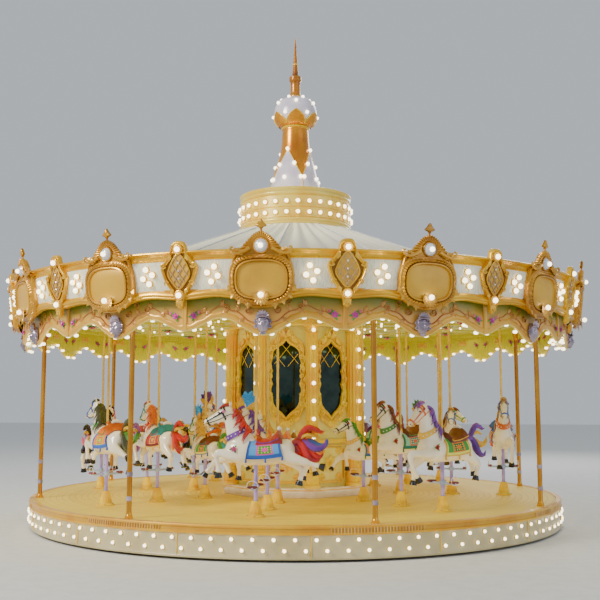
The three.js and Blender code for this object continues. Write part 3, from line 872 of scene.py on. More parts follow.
@dataclass
class Studio:
    """The camera, the pale floor and the soft lights.

    Attributes:
        distance, height: From the turning axis to the camera, and the camera's height.
        azimuth, pitch: Its angle round the axis, towards +X, and how far it looks up, in degrees.
        lens, shift: Its focal length in millimetres on 36 mm, and its shift as a share of the frame.
    """

    distance: float = 13.335
    azimuth: float = 8.7
    height: float = 1.669
    pitch: float = 6.62
    lens: float = 53.38
    shift: float = 0.0077

    def camera(self) -> None:
        """Puts the camera where the photograph was taken from."""
        data = bpy.data.cameras.new("camera")
        data.lens = self.lens
        data.sensor_width = 36.0
        data.shift_x = self.shift
        data.clip_end = 200.0
        eye = bpy.data.objects.new("camera", data)
        turn = math.radians(self.azimuth)
        eye.location = (self.distance * math.sin(turn), -self.distance * math.cos(turn), self.height)
        eye.rotation_euler = (math.radians(90 + self.pitch), 0, turn)
        bpy.context.scene.collection.objects.link(eye)
        bpy.context.scene.camera = eye

    def light(self, name: str, size: float, power: float, place: Sequence[float], colour: Colour) -> None:
        """A square area light that looks at the middle of the carousel.

        Args:
            name: Its name.
            size: Its side.
            power: Its power in watts.
            place: Where it stands.
            colour: Its colour.
        """
        data = bpy.data.lights.new(name, "AREA")
        data.size = size
        data.energy = power
        data.color = colour
        lamp = bpy.data.objects.new(name, data)
        lamp.location = place
        lamp.visible_camera = False
        lamp.visible_glossy = power > 100.0
        aim = np.array([0.0, 0.0, 2.6]) - np.array(place)
        flat = math.hypot(aim[0], aim[1])
        lamp.rotation_euler = (math.atan2(flat, -aim[2]), 0, math.atan2(aim[1], aim[0]) - math.pi / 2)
        bpy.context.scene.collection.objects.link(lamp)

    def build(self) -> None:
        """Makes the studio: a floor that ends far behind, a pale sky and three soft lights."""
        self.camera()
        world = bpy.data.worlds.new("studio")
        world.use_nodes = True
        world.node_tree.nodes["Background"].inputs["Color"].default_value = (0.86, 0.92, 1.0, 1)
        world.node_tree.nodes["Background"].inputs["Strength"].default_value = 0.6
        bpy.context.scene.world = world
        self.light("key", 4.5, 2900.0, (-12.0, -12.0, 11.5), (1.0, 0.94, 0.83))
        self.light("fill", 12.0, 420.0, (14.0, -10.0, 7.0), (0.93, 0.96, 1.0))
        self.light("back", 9.0, 1100.0, (4.0, 15.0, 11.0), (1.0, 0.97, 0.92))
        self.light("canopy_glow", 5.6, 70.0, (0.0, 0.0, 2.78), (1.0, 0.9, 0.55))
        self.light("deck_glow", 6.4, 90.0, (0.0, 0.0, 0.45), (1.0, 0.92, 0.65))
        side = 60.0
        mesh = bpy.data.meshes.new("studio_floor")
        mesh.from_pydata([(-side, -side, 0), (side, -side, 0), (side, side, 0), (-side, side, 0)], [],
            [(0, 1, 2, 3)])
        floor = bpy.data.objects.new("studio_floor", mesh)
        floor.data.materials.append(Finish("studio_pale", "white", tint("dfe0dc"), tint("d8d9d5"), 0.8,
            coat=0.0, relief=0.0).material())
        bpy.context.scene.collection.objects.link(floor)


# Deck


def band(profile: Sequence[Sequence[float]], finish: int = 0, sides: int = 224) -> Shape:
    """A long round moulding, smooth enough for the whole width of the carousel."""
    return lathe(profile, sides, finish)


@dataclass
class Deck:
    """The floor sections' dress, the gold rim, the white skirt with its two rows of lamps, and the bells.

    Attributes:
        radius: The deck's outer radius.
        rim_low: The rim's lower edge.
        row_heights: The two lamp rows' heights.
        row_lamps: Lamps in a row.
        rows: The horses' rows' radii.
    """

    radius: float = 3.75
    rim_low: float = 0.284
    row_heights: tuple[float, float] = (0.125, 0.238)
    row_lamps: int = 104
    rows: tuple[float, float, float] = (3.0, 2.27, 1.54)

    def floor(self) -> None:
        """Dresses the frame's own floor sections."""
        for k in range(STATIONS):
            dress(f"deck_section_{k + 1}", DECK)

    def rim(self) -> None:
        """The gold rim: a rounded nosing over a fluted edge, with a tread plate at every way on."""
        r, top, low = self.radius, DECK_TOP + 0.004, self.rim_low
        piece = Piece("rim_moulding", [GOLD_ORANGE, TREAD])
        piece.add(band([*mm((-66, 0), (4, 0), (8, 8), (8, 22), (-6, 30), at=(r, low)), *mm((-8, -34),
            (2, -28), (6, -12), (-2, -1), (-20, 0), (-66, 0), at=(r, top)), (r - 0.066, low)]))
        tooth = self.tooth()
        for way in range(STATIONS):
            start = POLE_ANGLE + STATION_STEP * way - 8
            piece.add(*(tooth.at(start + 0.55 * n, 0.0) for n in range(30)))
        piece.build("rim_band")

    def tooth(self) -> Shape:
        """One rib of a tread plate: a rounded bar that runs in over the rim's edge."""
        r, top = self.radius, DECK_TOP + 0.0045
        path = [(0, -r - 0.004, top - 0.085), (0, -r - 0.003, top - 0.03), (0, -r + 0.01, top),
            (0, -r + 0.064, top)]
        return tube(np.array(path), 0.0055, 5, 1)

    def skirt(self) -> None:
        """The skirt: sixteen slightly crowned panels between thin gold fillets, and a base moulding."""
        outer = self.radius - 0.006
        piece = Piece("skirt_panels", [SKIRT_WHITE, GOLD_PALE])
        piece.add(band(mm((-22, 30), (-2, 30), (0, 36), (3, 50), (-3, 60), (-4, 150), (-3, 268), (0, 283.7),
            (-22, 283.7), (-22, 30), at=(outer, 0))))
        joint = tube(np.array([(0, -outer - 0.001, 0.052), (0, -outer - 0.001, 0.282)]), 0.005, 6, 1)
        piece.add(joint.ring(16, POLE_ANGLE / 2))
        piece.build("skirt")

    def lamps(self) -> None:
        """The two staggered rows of lamps on the skirt, each in a small socket ring."""
        outer = self.radius - 0.006
        piece = Piece("skirt_lamps", [LAMP, GOLD_PALE])
        step = 360 / self.row_lamps
        for height, start in zip(self.row_heights, (0.0, step / 2)):
            piece.add(lamp(0.021).at(0, outer - 0.004, height).ring(self.row_lamps, start))
        piece.build()

    def bells(self) -> None:
        """The yellow bells: fluted cones on round flanges, each with six bolts."""
        piece = Piece("guide_bells", [BELL_YELLOW, STEEL])
        v = np.linspace(0, 1, 6)[:, None]
        a = np.linspace(0, TAU, 49)[None, :]
        flute = 1 + 0.035 * np.cos(12 * a) * np.sin(np.pi * np.clip(v * 1.15, 0, 1))
        radius = (0.079 - 0.034 * v**1.15) * flute
        height = 0.026 + 0.15 * v
        cone = grid(swept(a, radius, height))
        foot = lathe(mm((109, 0), (110.5, 12), (106, 16.5), (86, 17.5), (79.5, 26.5)), 24)
        lip = lathe(mm((45, 176), (44.5, 180.5), (36, 181.5), (31, 174)), 18)
        bolt = lathe(mm((8.5, 16.5), (8.5, 22), (5, 24.5), (0, 24.5)), 6, 1).moved(x=0.096)
        bell = join([cone, foot, lip, bolt.ring(6, 30)])
        for radius in self.rows:
            piece.add(bell.at(0, radius, DECK_TOP).ring(STATIONS))
        piece.build()

    def build(self) -> None:
        """Builds the whole deck."""
        self.floor()
        self.rim()
        self.skirt()
        self.lamps()
        self.bells()


def dress(node: str, finish: Finish) -> None:
    """Gives a frame node its finish in every material slot."""
    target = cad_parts[node]
    target.data.materials.clear()
    target.data.materials.append(finish.material())
    target.data.polygons.foreach_set("material_index", np.zeros(len(target.data.polygons), np.int32))
    log.info("%s is dressed in %s", node, finish.name)


def lamp(radius: float, sides: int = 8) -> Shape:
    """A lamp that looks along -Y: a globe (finish 0) half out of a socket ring (finish 1)."""
    ring = [(radius * 1.3, 0.0), (radius * 1.3, radius * 0.3), (radius * 0.92, radius * 0.55)]
    return join([globe(radius, 0, sides).moved(y=-radius * 0.75), lathe(ring, sides, 1).turned(90, "x")])


@dataclass
class OuterPoles:
    """The eight brass posts of the canopy's edge, and the ring beam that they carry.

    Attributes:
        ring_radius: Where they stand.
        radius: A post's radius.
        cuffs: The heights of the silver cuffs.
    """

    ring_radius: float = 3.6225
    radius: float = 0.0305
    cuffs: tuple[float, float] = (0.60, 0.87)

    def build(self) -> None:
        """Posts with a turned foot and cap, silver cuffs, and the round beam."""
        foot, top, r = DECK_TOP + 0.0003, CEILING_Z - 0.0003, self.radius
        piece = Piece("outer_posts", [BRASS, SILVER, CANOPY])
        profile = [*mm((0, 0), (52, 0), (52, 8), (44, 14), (44, 30), (38, 36), at=(0, foot)), *mm((4, 50),
            (0, 70), at=(r, foot)), *mm((0, -200), (4, -190), (12, -160), (4, -130), (20, -70),
            at=(r, top))]
        post = [lathe(profile, 16)]
        for z in self.cuffs:
            post.append(lathe(mm((0, -26), (4, -22), (5, 0), (4, 22), (0, 26), at=(r, z)), 16, 1))
        piece.add(join(post).at(0, self.ring_radius).ring(STATIONS, POLE_ANGLE))
        inner, outer, low = self.ring_radius - 0.03, self.ring_radius + 0.03, top - 0.06
        piece.add(band([(inner, low), (outer, low), (outer, top), (inner, top), (inner, low)], 2, 112))
        piece.build("outer_poles")



# Canopy


class Trim(IntEnum):
    """The finish numbers of the boards' carvings."""

    GOLD = 0
    FIELD = 1
    SHELL = 2
    GLOBE = 3
    LATTICE = 4


def scallop(angle: Any) -> Any:
    """Height of the valance's edge: 2.5125 - 0.03 cos w - 0.0805 cos 2w, w = bays * angle from a mask."""
    wave = np.radians(angle * BAYS)
    return 2.5125 - 0.03 * np.cos(wave) - 0.0805 * np.cos(2 * wave)


def bent(shape: Shape, radius: float) -> Shape:
    """Bends a shape made in the XZ plane round the axis: x is an arc's length, -y adds to the radius."""
    x, y, z = shape.points.T
    return Shape(round_points(np.degrees(x / radius), radius - y, z), shape.faces, shape.uv, shape.finish)


def rosette(radius: float, petals: int, finish: int, turns: int = 2) -> Shape:
    """A rose that looks along -Y: rings of petals, each smaller, further forward and half a petal on."""
    rings = []
    for n in range(turns):
        size = radius * (1 - 0.42 * n)
        petal = leaf(size, size * 0.52, 1, 0.25, finish).turned(8 + 24 * n, "x")
        rings += [petal.turned(360 * (k + 0.5 * n) / petals, "y").moved(y=-0.18 * radius * n)
            for k in range(petals)]
    rings.append(globe(radius * 0.3, finish, 6).moved(y=-0.3 * radius))
    return join(rings)


def scroll(radius: float, turns: float, start: float, place: Sequence[float], thick: float, finish: int,
        eye: float = 0.4) -> Shape:
    """A carved scroll in the XZ plane round a place; `eye` is its inner end's share of its thickness."""
    return tube(spiral(radius, turns, 14, start) + np.array(place), np.linspace(thick, thick * eye, 14), 5,
        finish)


def both_sides(shapes: Iterable[Shape]) -> list[Shape]:
    """Shapes, and their mirror images in the YZ plane."""
    return [copy for shape in shapes for copy in (shape, shape.scaled(-1, 1, 1))]


@dataclass
class RoundingBoards:
    """Fourteen bays of rounding boards: pearl panels with lamps, mouldings, shields and lattice diamonds.

    Attributes:
        low_radius, low_z: The board's foot, from which it leans out by `lean` degrees.
        columns: Columns of the mouldings in a bay.
        lamp_radius: The radius of the panel lamps.
        lamp_spots: The four lamps of the panel right of a shield, (x, z) from the panel's middle.
        panel_angle: From a shield's middle to a panel's middle.
        field_centre, field_half: The middle of a shield's field over the board's foot, and half its size.
    """

    low_radius: float = 3.998
    low_z: float = 2.795
    lean: float = 6.83
    columns: int = 28
    lamp_radius: float = 0.033
    lamp_spots: tuple[tuple[float, float], ...] = ((-0.019, 0.08), (0.06, 0.018), (-0.057, -0.019),
        (0.018, -0.079))
    panel_angle: float = 7.45
    field_centre: tuple[float, float] = (0.0, 0.17)
    field_half: tuple[float, float] = (0.264, 0.192)

    def front(self, shape: Shape) -> Shape:
        """Lays a shape made in the XZ plane onto the leaning board; its z counts from the foot."""
        return shape.turned(self.lean, "x").moved(y=-self.low_radius, z=self.low_z + 0.01)

    def radius_at(self, z: Any) -> Any:
        """The board's radius at a height."""
        return self.low_radius + (z - self.low_z) * math.tan(math.radians(self.lean))

    def panels(self) -> Shape:
        """The pearl ring: a cushion between each shield and diamond, 22 mm proud in its middle."""
        angle = np.linspace(0, 360, BAYS * self.columns + 1)[None, :]
        v = np.linspace(0, 1, 7)[:, None]
        z = 2.83 + 0.38 * v
        from_middle = (np.abs((angle + BAY_STEP / 2) % BAY_STEP - BAY_STEP / 2) - self.panel_angle) / 4.2
        bulge = 0.022 * np.clip(1 - from_middle**2, 0, 1) * np.sin(np.pi * v) ** 0.7
        return grid(round_points(angle, self.radius_at(z) + 0.004 + bulge, z))

    def cornice(self) -> Shape:
        """The straight crown moulding and the thin back of the boards."""
        base = self.radius_at(3.2)
        steps = mm((-4, 3190), (12, 3194), (16, 3203), (11, 3212), (6, 3218), (10, 3236), (22, 3252),
            (38, 3262), (50, 3267), (58, 3276), (56, 3289), (44, 3296))
        profile = [(base + r, z) for r, z in steps] + [(3.97, 3.296), (3.959, 3.29), (3.959, 2.8)]
        return band(profile, 1)

    def wave(self) -> Shape:
        """The lower moulding, which dips behind a shield and crests between it and the diamond.

        Its middle runs at z = 2.822 - 0.022 cos(w) - 0.022 cos(2w), with w = bays * angle.
        """
        angle = np.linspace(0, 360, BAYS * self.columns + 1)[None, :]
        wave = np.radians(angle * BAYS)
        middle = 2.822 - 0.022 * np.cos(wave) - 0.022 * np.cos(2 * wave)
        section = mm((0, 62), (12, 60), (18, 50), (14, 40), (22, 30), (34, 12), (38, -6), (30, -20),
            (20, -26), (24, -36), (22, -46), (8, -50), (-35, -50))
        return grid(round_points(angle, self.radius_at(middle) + section[:, :1], middle + section[:, 1:]),
            1)

    def oval(self, grow: float, t: Array) -> Array:
        """The field's outline, grown by this much: its axes times the cosine and sine to the power 0.7."""
        reach = np.asarray(self.field_half) + grow
        cos, sin = np.cos(t), np.sin(t)
        shape = np.stack([np.sign(cos) * np.abs(cos) ** 0.7, np.sign(sin) * np.abs(sin) ** 0.7], -1)
        return np.asarray(self.field_centre) + shape * reach

    def gadroons(self, lobes: int = 44) -> Shape:
        """The shield's frame ring, cut in rounded lobes all round.

        Each point stands its section's height forward, and 0.016 |sin(lobes t / 2)| sin(pi g) more, with g
        running from 0 to 1 over the 45 mm that start 20 mm outside the field.
        """
        t = np.linspace(0, TAU, lobes * 4 + 1)
        section = mm((-6, 70), (4, 95), (17, 90), (22, 75), (42, 80), (62, 65), (78, 64), (85, 50), (85, 0))
        grow = section[:, 0]
        lobe = np.clip((grow - 0.02) / 0.045, 0, 1)
        cut = 0.016 * np.abs(np.sin(lobes * t[None, :] / 2)) * np.sin(np.pi * lobe)[:, None]
        flat = np.stack([self.oval(step, t) for step in grow])
        return grid(upright(flat, -(section[:, 1:] + cut))[:, ::-1], Trim.GOLD)

    def fan(self, ribs: int = 22) -> Shape:
        """The crest of a shield: a bell-shaped fan of ribs round its shell, with a feathered edge.

        At the angle a from straight up the fan reaches a length read off `lengths`, plus 0.012 c, with
        c = |cos(pi ribs (a + 116) / 232)|. At the share s of it, it stands 0.052 + 0.03 s (1 - s)^0.5 +
        0.013 c s forward.
        """
        a = np.linspace(-116, 116, ribs * 4 + 1)[None, :]
        s = np.array([0.0, 0.3, 0.55, 0.75, 0.9, 1.0, 1.0])[:, None]
        rib = np.abs(np.cos(np.pi * ribs * (a + 116) / 232))
        lengths = (0.148, 0.14, 0.138, 0.15, 0.185, 0.228, 0.262)
        reach = np.interp(np.abs(a), (0, 25, 50, 70, 88, 102, 116), lengths)
        r = 0.07 + (reach + 0.012 * rib - 0.07) * s
        proud = 0.052 + 0.03 * s * np.sqrt(1 - s) + 0.013 * rib * s
        proud[-1] = 0.03
        turn = np.radians(a)
        return grid(np.stack([r * np.sin(turn), -proud, 0.525 + r * np.cos(turn)], -1), Trim.GOLD)

    def shield(self) -> Shape:
        """A shield: carved plate, lobed frame round a plain field, leaves, scrolls, horns and crest."""
        half = mm((0, -130), (130, -112), (250, -20), (335, 130), (345, 250), (315, 360), (285, 440),
            (205, 475), (150, 540), (112, 600), (60, 650), (0, 665))
        plate = closed_curve(mirrored_keys(half), 3)
        gold = Trim.GOLD
        parts = [layered(plate, mm((1000, 0), (1000, 38), (975, 49), (940, 47), (920, 36), (900, 36),
            (880, 52), (840, 56), (0, 54)), (0, 0.225), gold)]
        t = np.linspace(0, TAU, 61)
        parts.append(layered(self.oval(-0.004, t), mm((1000, 50), (1000, 70), (970, 73), (500, 82),
            (0, 84)), self.field_centre, Trim.FIELD))
        parts.append(self.gadroons())
        x0, z0 = self.field_centre
        for a in (196, 212, 228, 244):
            c, s = math.cos(math.radians(a)), math.sin(math.radians(a))
            petal = leaf(0.115, 0.036, 2, 0.22, gold).turned(90 - a - 18, "y")
            parts += both_sides([petal.moved(x0 + 0.3 * c, -0.052, z0 + 0.225 * s)])
        parts += [leaf(0.125 - 0.0004 * abs(a - 180), 0.036, 3, 0.28,
            gold).turned(a, "y").moved(y=-0.085, z=0.007) for a in range(100, 261, 20)]
        parts.append(self.fan())
        horn = spline(mm((120, -70, 500), (180, -80, 465), (240, -85, 444), (290, -80, 450),
            (325, -72, 482), (318, -66, 512), (296, -62, 508)), 13)
        parts += both_sides([tube(horn, np.linspace(0.024, 0.009, 13), 6, gold),
            leaf(0.12, 0.03, 2, 0.2, gold).turned(100, "y").moved(0.15, -0.066, 0.465),
            leaf(0.1, 0.026, 2, 0.2, gold).turned(60, "y").moved(0.2, -0.062, 0.455), scroll(0.055, 1.5, 60,
            (0.2, -0.06, 0.02), 0.016, gold), scroll(0.04, -1.4, -60, (0.322, -0.05, 0.12), 0.013, gold)])
        dome = lathe(mm((74, 0), (75, 12), (66, 20), (58, 32), (40, 46), (0, 54)), 16, Trim.SHELL)
        ring = lathe(mm((70, 0), (82, 4), (86, 14), (80, 22), (72, 18)), 18, gold)
        parts += [dome.turned(90, "x").moved(y=-0.055, z=0.525),
            ring.turned(90, "x").moved(y=-0.055, z=0.525), globe(0.03, Trim.GLOBE).moved(y=-0.115, z=0.525),
            globe(self.lamp_radius, Trim.GLOBE).moved(y=-0.14, z=0.007),
            self.finial().moved(y=-0.035, z=0.655)]
        return join(parts)

    def finial(self) -> Shape:
        """The finial: a collar, a stem and a flat spade."""
        stem = lathe(mm((30, 0), (32, 10), (20, 20), (13, 35), (14, 50), (24, 58), (12, 68)), 12, Trim.GOLD)
        spade = closed_curve(mirrored_keys(mm((0, 60), (30, 66), (60, 84), (32, 112), (0, 157))), 3)
        front = layered(spade, mm((1000, -12), (1000, 10), (800, 20), (0, 26)), (0, 0.09), Trim.GOLD)
        return join([stem, front, front.scaled(1, -1, 1)])

    def lattice(self, outline: Array, spacing: float, slope: float) -> list[Shape]:
        """Bars at both slopes across a diamond's field, each cut where it leaves the field.

        Bar n runs along x = (z - n * spacing) * slope, and the field's half width is read off its outline.
        """
        right = outline[(outline[:, 0] >= 0)]
        right = right[np.argsort(right[:, 1])]
        z = np.linspace(right[0, 1], right[-1, 1], 181)
        half = np.interp(z, right[:, 1], right[:, 0])
        bars = []
        for n in np.arange(z[0] - 0.3, z[-1] + 0.3, spacing):
            x = (z - n) * slope
            inside = np.abs(x) < half - 0.004
            if inside.sum() > 4:
                ends = upright(np.stack([x, z], -1)[inside], -0.046)[[0, -1]]
                bars.append(tube(ends, 0.007, 5, Trim.LATTICE))
        return both_sides(bars)

    def diamond(self) -> Shape:
        """A lozenge: moulded frame, latticed field, a round head with a lamp, and a pendant."""
        half = mm((0, -130), (35, -100), (52, -30), (90, 50), (165, 165), (205, 265), (210, 335),
            (130, 430), (98, 500), (80, 570), (45, 600), (0, 606))
        outline = closed_curve(mirrored_keys(half), 3)
        gold = Trim.GOLD
        layers = [(1, 0.0), (1.0, 0.04), (0.97, 0.054), (0.93, 0.058), (0.885, 0.052), (0.87, 0.046),
            (0.82, 0.05), (0.78, 0.036), (0, 0.036)]
        parts = [layered(outline, layers, (0, 0.25), gold)]
        field_half = mm((0, 90), (70, 150), (128, 250), (85, 370), (30, 450), (0, 460))
        field_line = closed_curve(mirrored_keys(field_half), 4)
        parts.append(layered(field_line, mm((1000, 36), (1000, 40), (0, 40)), (0, 0.26), Trim.FIELD))
        parts += self.lattice(field_line, 0.115, 0.72)
        parts.append(tube(upright(field_line, -0.046), 0.009, 5, gold))
        parts += [globe(0.013, Trim.SHELL, 6).moved(y=-0.052, z=z) for z in (0.2, 0.285, 0.37)]
        eye = lathe(mm((56, 0), (58, 12), (46, 18), (40, 12), (0, 14)), 14, gold).turned(90, "x")
        for z in (0.515, 0.022):
            parts += [eye.moved(y=-0.048, z=z), globe(0.033, Trim.GLOBE).moved(y=-0.074, z=z)]
        parts += both_sides([scroll(0.034, 1.4, 200, (0.178, -0.056, 0.345), 0.012, gold), scroll(0.03,
            -1.4, 160, (0.15, -0.05, 0.15), 0.01, gold),
            leaf(0.09, 0.024, 2, 0.15, gold).turned(-24, "y").moved(0.12, -0.05, 0.385),
            leaf(0.08, 0.022, 2, 0.15, gold).turned(204, "y").moved(0.1, -0.05, 0.105)])
        parts += spray(leaf(0.1, 0.022, 2, 0.12, gold), (156, 180, 204), 0, -0.05, -0.01)
        return join(parts)

    def build(self) -> None:
        """The boards, the shields, the diamonds and the panel lamps."""
        boards = Piece("board_panels", [PEARL, GOLD_WARM])
        boards.add(self.panels().turned(SHIELD_ANGLE), self.cornice(), self.wave().turned(SHIELD_ANGLE))
        boards.build("rounding_boards")
        finishes = [GOLD_COPPER, GOLD_FIELD, PEARL_SHELL, LAMP, GOLD_LATTICE]
        shields = Piece("board_shields", finishes)
        shields.add(self.front(self.shield()).ring(BAYS, SHIELD_ANGLE))
        shields.build()
        diamonds = Piece("board_diamonds", [GOLD_WARM] + finishes[1:])
        diamonds.add(self.front(self.diamond()).ring(BAYS, SHIELD_ANGLE + BAY_STEP / 2))
        diamonds.build()
        lamps = Piece("board_lamps", [LAMP, GOLD_PALE])
        spot = join(lamp(self.lamp_radius).moved(x=x, z=z) for x, z in self.lamp_spots)
        for side in (1, -1):
            cluster = self.front(spot.scaled(side, 1, 1).moved(y=-0.024, z=0.235))
            lamps.add(cluster.ring(BAYS, SHIELD_ANGLE + side * self.panel_angle))
        lamps.build()


@dataclass
class Valance:
    """The scalloped valance: a painted sheet with a gilt border, masks, roses, leaves and lamps.

    Attributes:
        radius: Its outer face.
        thickness: The sheet's thickness.
        columns: Columns of its grids in a bay.
        lamp_count: Lamps along one bay's edge.
        mask_z: The masks' middle.
    """

    radius: float = 3.9
    thickness: float = 0.02
    columns: int = 30
    lamp_count: int = 10
    mask_z: float = 2.516

    def sheet(self) -> list[Shape]:
        """The outer face (finish 0), and the edge with the inner face (finish 3)."""
        angle = np.linspace(0, 360, BAYS * self.columns + 1)[None, :]
        edge, top = scallop(angle), CEILING_Z - 0.0003
        share = np.linspace(0, 1, 3)[:, None]
        outer = round_points(angle, self.radius, top * (1 - share) + edge * share)
        inner = round_points(angle, self.radius - self.thickness, edge * (1 - share) + top * share)
        return [grid(outer), grid(np.concatenate([outer[-1:], inner]), 3)]

    def border(self) -> Shape:
        """A carved band along the edge: its face swells by 13 mm, and its top runs in small leaf tips."""
        angle = np.linspace(0, 360, BAYS * self.columns * 2 + 1)[None, :]
        v = np.linspace(0, 1, 5)[:, None]
        tips = 1 + 0.14 * np.cos(np.radians(angle * BAYS * 12))
        z = scallop(angle) - 0.004 + 0.062 * v * tips
        return grid(round_points(angle, self.radius + 0.013 * np.sin(np.pi * v) ** 0.8, z), 1)

    def bead(self) -> Shape:
        """The pale bead that outlines the edge."""
        angle = np.linspace(0, 360, BAYS * self.columns + 1)[None, :]
        a = np.linspace(0, TAU, 6)[:, None]
        out = self.radius - self.thickness / 2 + 0.0135 * np.cos(a)
        return grid(round_points(angle, out, scallop(angle) - 0.006 + 0.0135 * np.sin(a)), 2)

    def vine(self) -> Shape:
        """The carved vine over the border on both sides of a mask, with leaves and scrolls."""
        x = np.linspace(0.1, 0.74, 20)
        z = scallop(np.degrees(x / self.radius)) + 0.1 + 0.012 * np.sin(x * 30)
        half = [tube(upright(np.stack([x, z], -1), -0.004), np.linspace(0.009, 0.005, 20), 5, 4)]
        for n, place in enumerate((0.2, 0.3, 0.38, 0.47, 0.57, 0.67)):
            height = float(np.interp(place, x, z))
            half += spray(leaf(0.085, 0.022, 2, 0.1, 4), [-35 if n % 2 else 125], place, -0.005, height)
        half += [scroll(0.045, 1.5, 180, (0.16, -0.008, 2.66), 0.01, 4), scroll(0.034, -1.5, 180,
            (0.27, -0.008, 2.745), 0.008, 4), scroll(0.036, 1.4, 20, (0.4, -0.008, 2.69), 0.008, 4)]
        return bent(join(both_sides(half)), self.radius)

    def post(self) -> Shape:
        """The moulded strip that covers the joint under a diamond."""
        low = float(scallop(BAY_STEP / 2)) - 0.004
        outline = np.array([(-0.024, low), (0.024, low), (0.024, 2.82), (-0.024, 2.82), (-0.024, low)])
        return layered(outline, mm((1000, 0), (1000, 14), (800, 20), (500, 16), (0, 16)), (0, (low + 2.82)
            / 2), 1)

    def mask(self) -> Shape:
        """A calm mask under a shell headdress, on plain proportions: eyes halfway, the nose a quarter below.

        Over the oval x, z the face stands 0.062 (1 - x^2 - z^2)^0.5 forward. To it come the bumps, each a
        Gaussian of its own widths, mirrored to both halves: nose, brow, cheeks, lips and chin stand out, and
        the eye sockets and the mouth's line lie deeper.
        """
        v, u = np.meshgrid(np.linspace(-1, 1, 24), np.linspace(-1, 1, 20), indexing="ij")
        angle, reach = np.arctan2(v, u), np.maximum(np.abs(u), np.abs(v))
        x, z = reach * np.cos(angle), reach * np.sin(angle)
        depth = 0.062 * np.sqrt(np.clip(1.0 - reach**2, 0, 1))
        bumps = mm((26, 0, -120, 110, 220), (12, 0, -280, 160, 90), (9, 300, 220, 220, 70),
            (-13, 300, 60, 170, 90), (8, 300, 50, 100, 50), (8, 420, -280, 200, 180), (9, 0, -470, 190, 45),
            (10, 0, -580, 150, 50), (12, 0, -800, 180, 120), (-6, 0, -525, 220, 20))
        for height, cx, cz, wx, wz in bumps:
            depth = depth + height * np.exp(-(((np.abs(x) - cx) / wx) ** 2) - ((z - cz) / wz) ** 2)
        width = 0.078 * (1 - 0.16 * np.clip(-z, 0, 1))
        face = grid(np.stack([x * width, -depth, z * 0.108], -1))
        shell = spray(leaf(0.082, 0.024, 1, 0.35, lift=0.01), range(-75, 76, 25), 0, -0.026, 0.058)
        ribbon = spline(mm((-74, -30, 45), (-45, -58, 66), (0, -70, 72), (45, -58, 66), (74, -30, 45)), 9)
        locks = [tube(spiral(0.022, 1.3, 11, 90) + np.array([0.08, -0.02, z]), 0.009, 5)
            for z in (0.02, -0.035)]
        beard = spray(leaf(0.06, 0.02, 1, 0.1, lift=0.004), (150, 180, 210), 0, -0.012, -0.07)
        return join([face, tube(ribbon, 0.01, 5)] + shell + beard + both_sides(locks))

    def roses(self, size: float, turns: int) -> Shape:
        """A rose of this many rings (finish 0) and a bud (1) over leaves (2), on both sides of a joint."""
        leaves = spray(leaf(size * 1.7, size * 0.42, 1, 0.1, 2), (40, 80, 200, 260))
        bud = rosette(size * 0.5, 5, 1, turns - 1).moved(x=size * 1.4, z=size * 0.9)
        return join(both_sides([join([*leaves, rosette(size, 5, 0, turns), bud]).moved(x=0.11)]))

    def build(self) -> None:
        """The valance in four pieces: the sheet, the masks, the roses and the lamps."""
        sheet = Piece("valance_sheet", [VALANCE_PAINT_SHADED_TOP, GOLD_TAN, BEAD_CREAM, CANOPY, GOLD_VINE])
        sheet.add(*self.sheet(), self.border(), self.bead(), self.vine().ring(BAYS))
        sheet.add(self.post().at(0, self.radius).ring(BAYS, BAY_STEP / 2))
        inside = join(spray(leaf(0.11, 0.03, 2, 0.1, 1), (60, 100, 260, 300)))
        inside = inside.scaled(1, -1, 1).at(0, self.radius - self.thickness, 2.72)
        sheet.add(inside.ring(BAYS * 2, BAY_STEP / 4))
        sheet.shapes = [shape.turned(SHIELD_ANGLE) for shape in sheet.shapes]
        sheet.build("valance")
        masks = Piece("valance_masks", [SILVER], crease=60)
        masks.add(self.mask().at(0, self.radius + 0.014, self.mask_z).ring(BAYS, SHIELD_ANGLE))
        masks.build()
        flowers = Piece("valance_roses", [ROSE_MAGENTA, ROSE_PINK, LEAF_GREEN])
        outer = self.roses(0.042, 3).at(0, self.radius + 0.006, 2.61)
        inner = self.roses(0.04, 2).scaled(1, -1, 1).at(0, self.radius - self.thickness, 2.68)
        flowers.add(outer.ring(BAYS, SHIELD_ANGLE + BAY_STEP / 2), inner.ring(BAYS * 2, SHIELD_ANGLE))
        flowers.build()
        lamps = Piece("valance_lamps", [LAMP, GOLD_PALE])
        bulb = join([globe(0.03, 0).scaled(1, 1, 0.72).moved(z=-0.018), lathe(mm((18, -4), (19, 12),
            (0, 16)), 8, 1)])
        for n in range(self.lamp_count):
            angle = BAY_STEP * (n + 0.5) / self.lamp_count
            z = float(scallop(angle)) + 0.006
            lamps.add(bulb.at(0, self.radius - self.thickness - 0.034, z).ring(BAYS, SHIELD_ANGLE + angle))
        lamps.build()


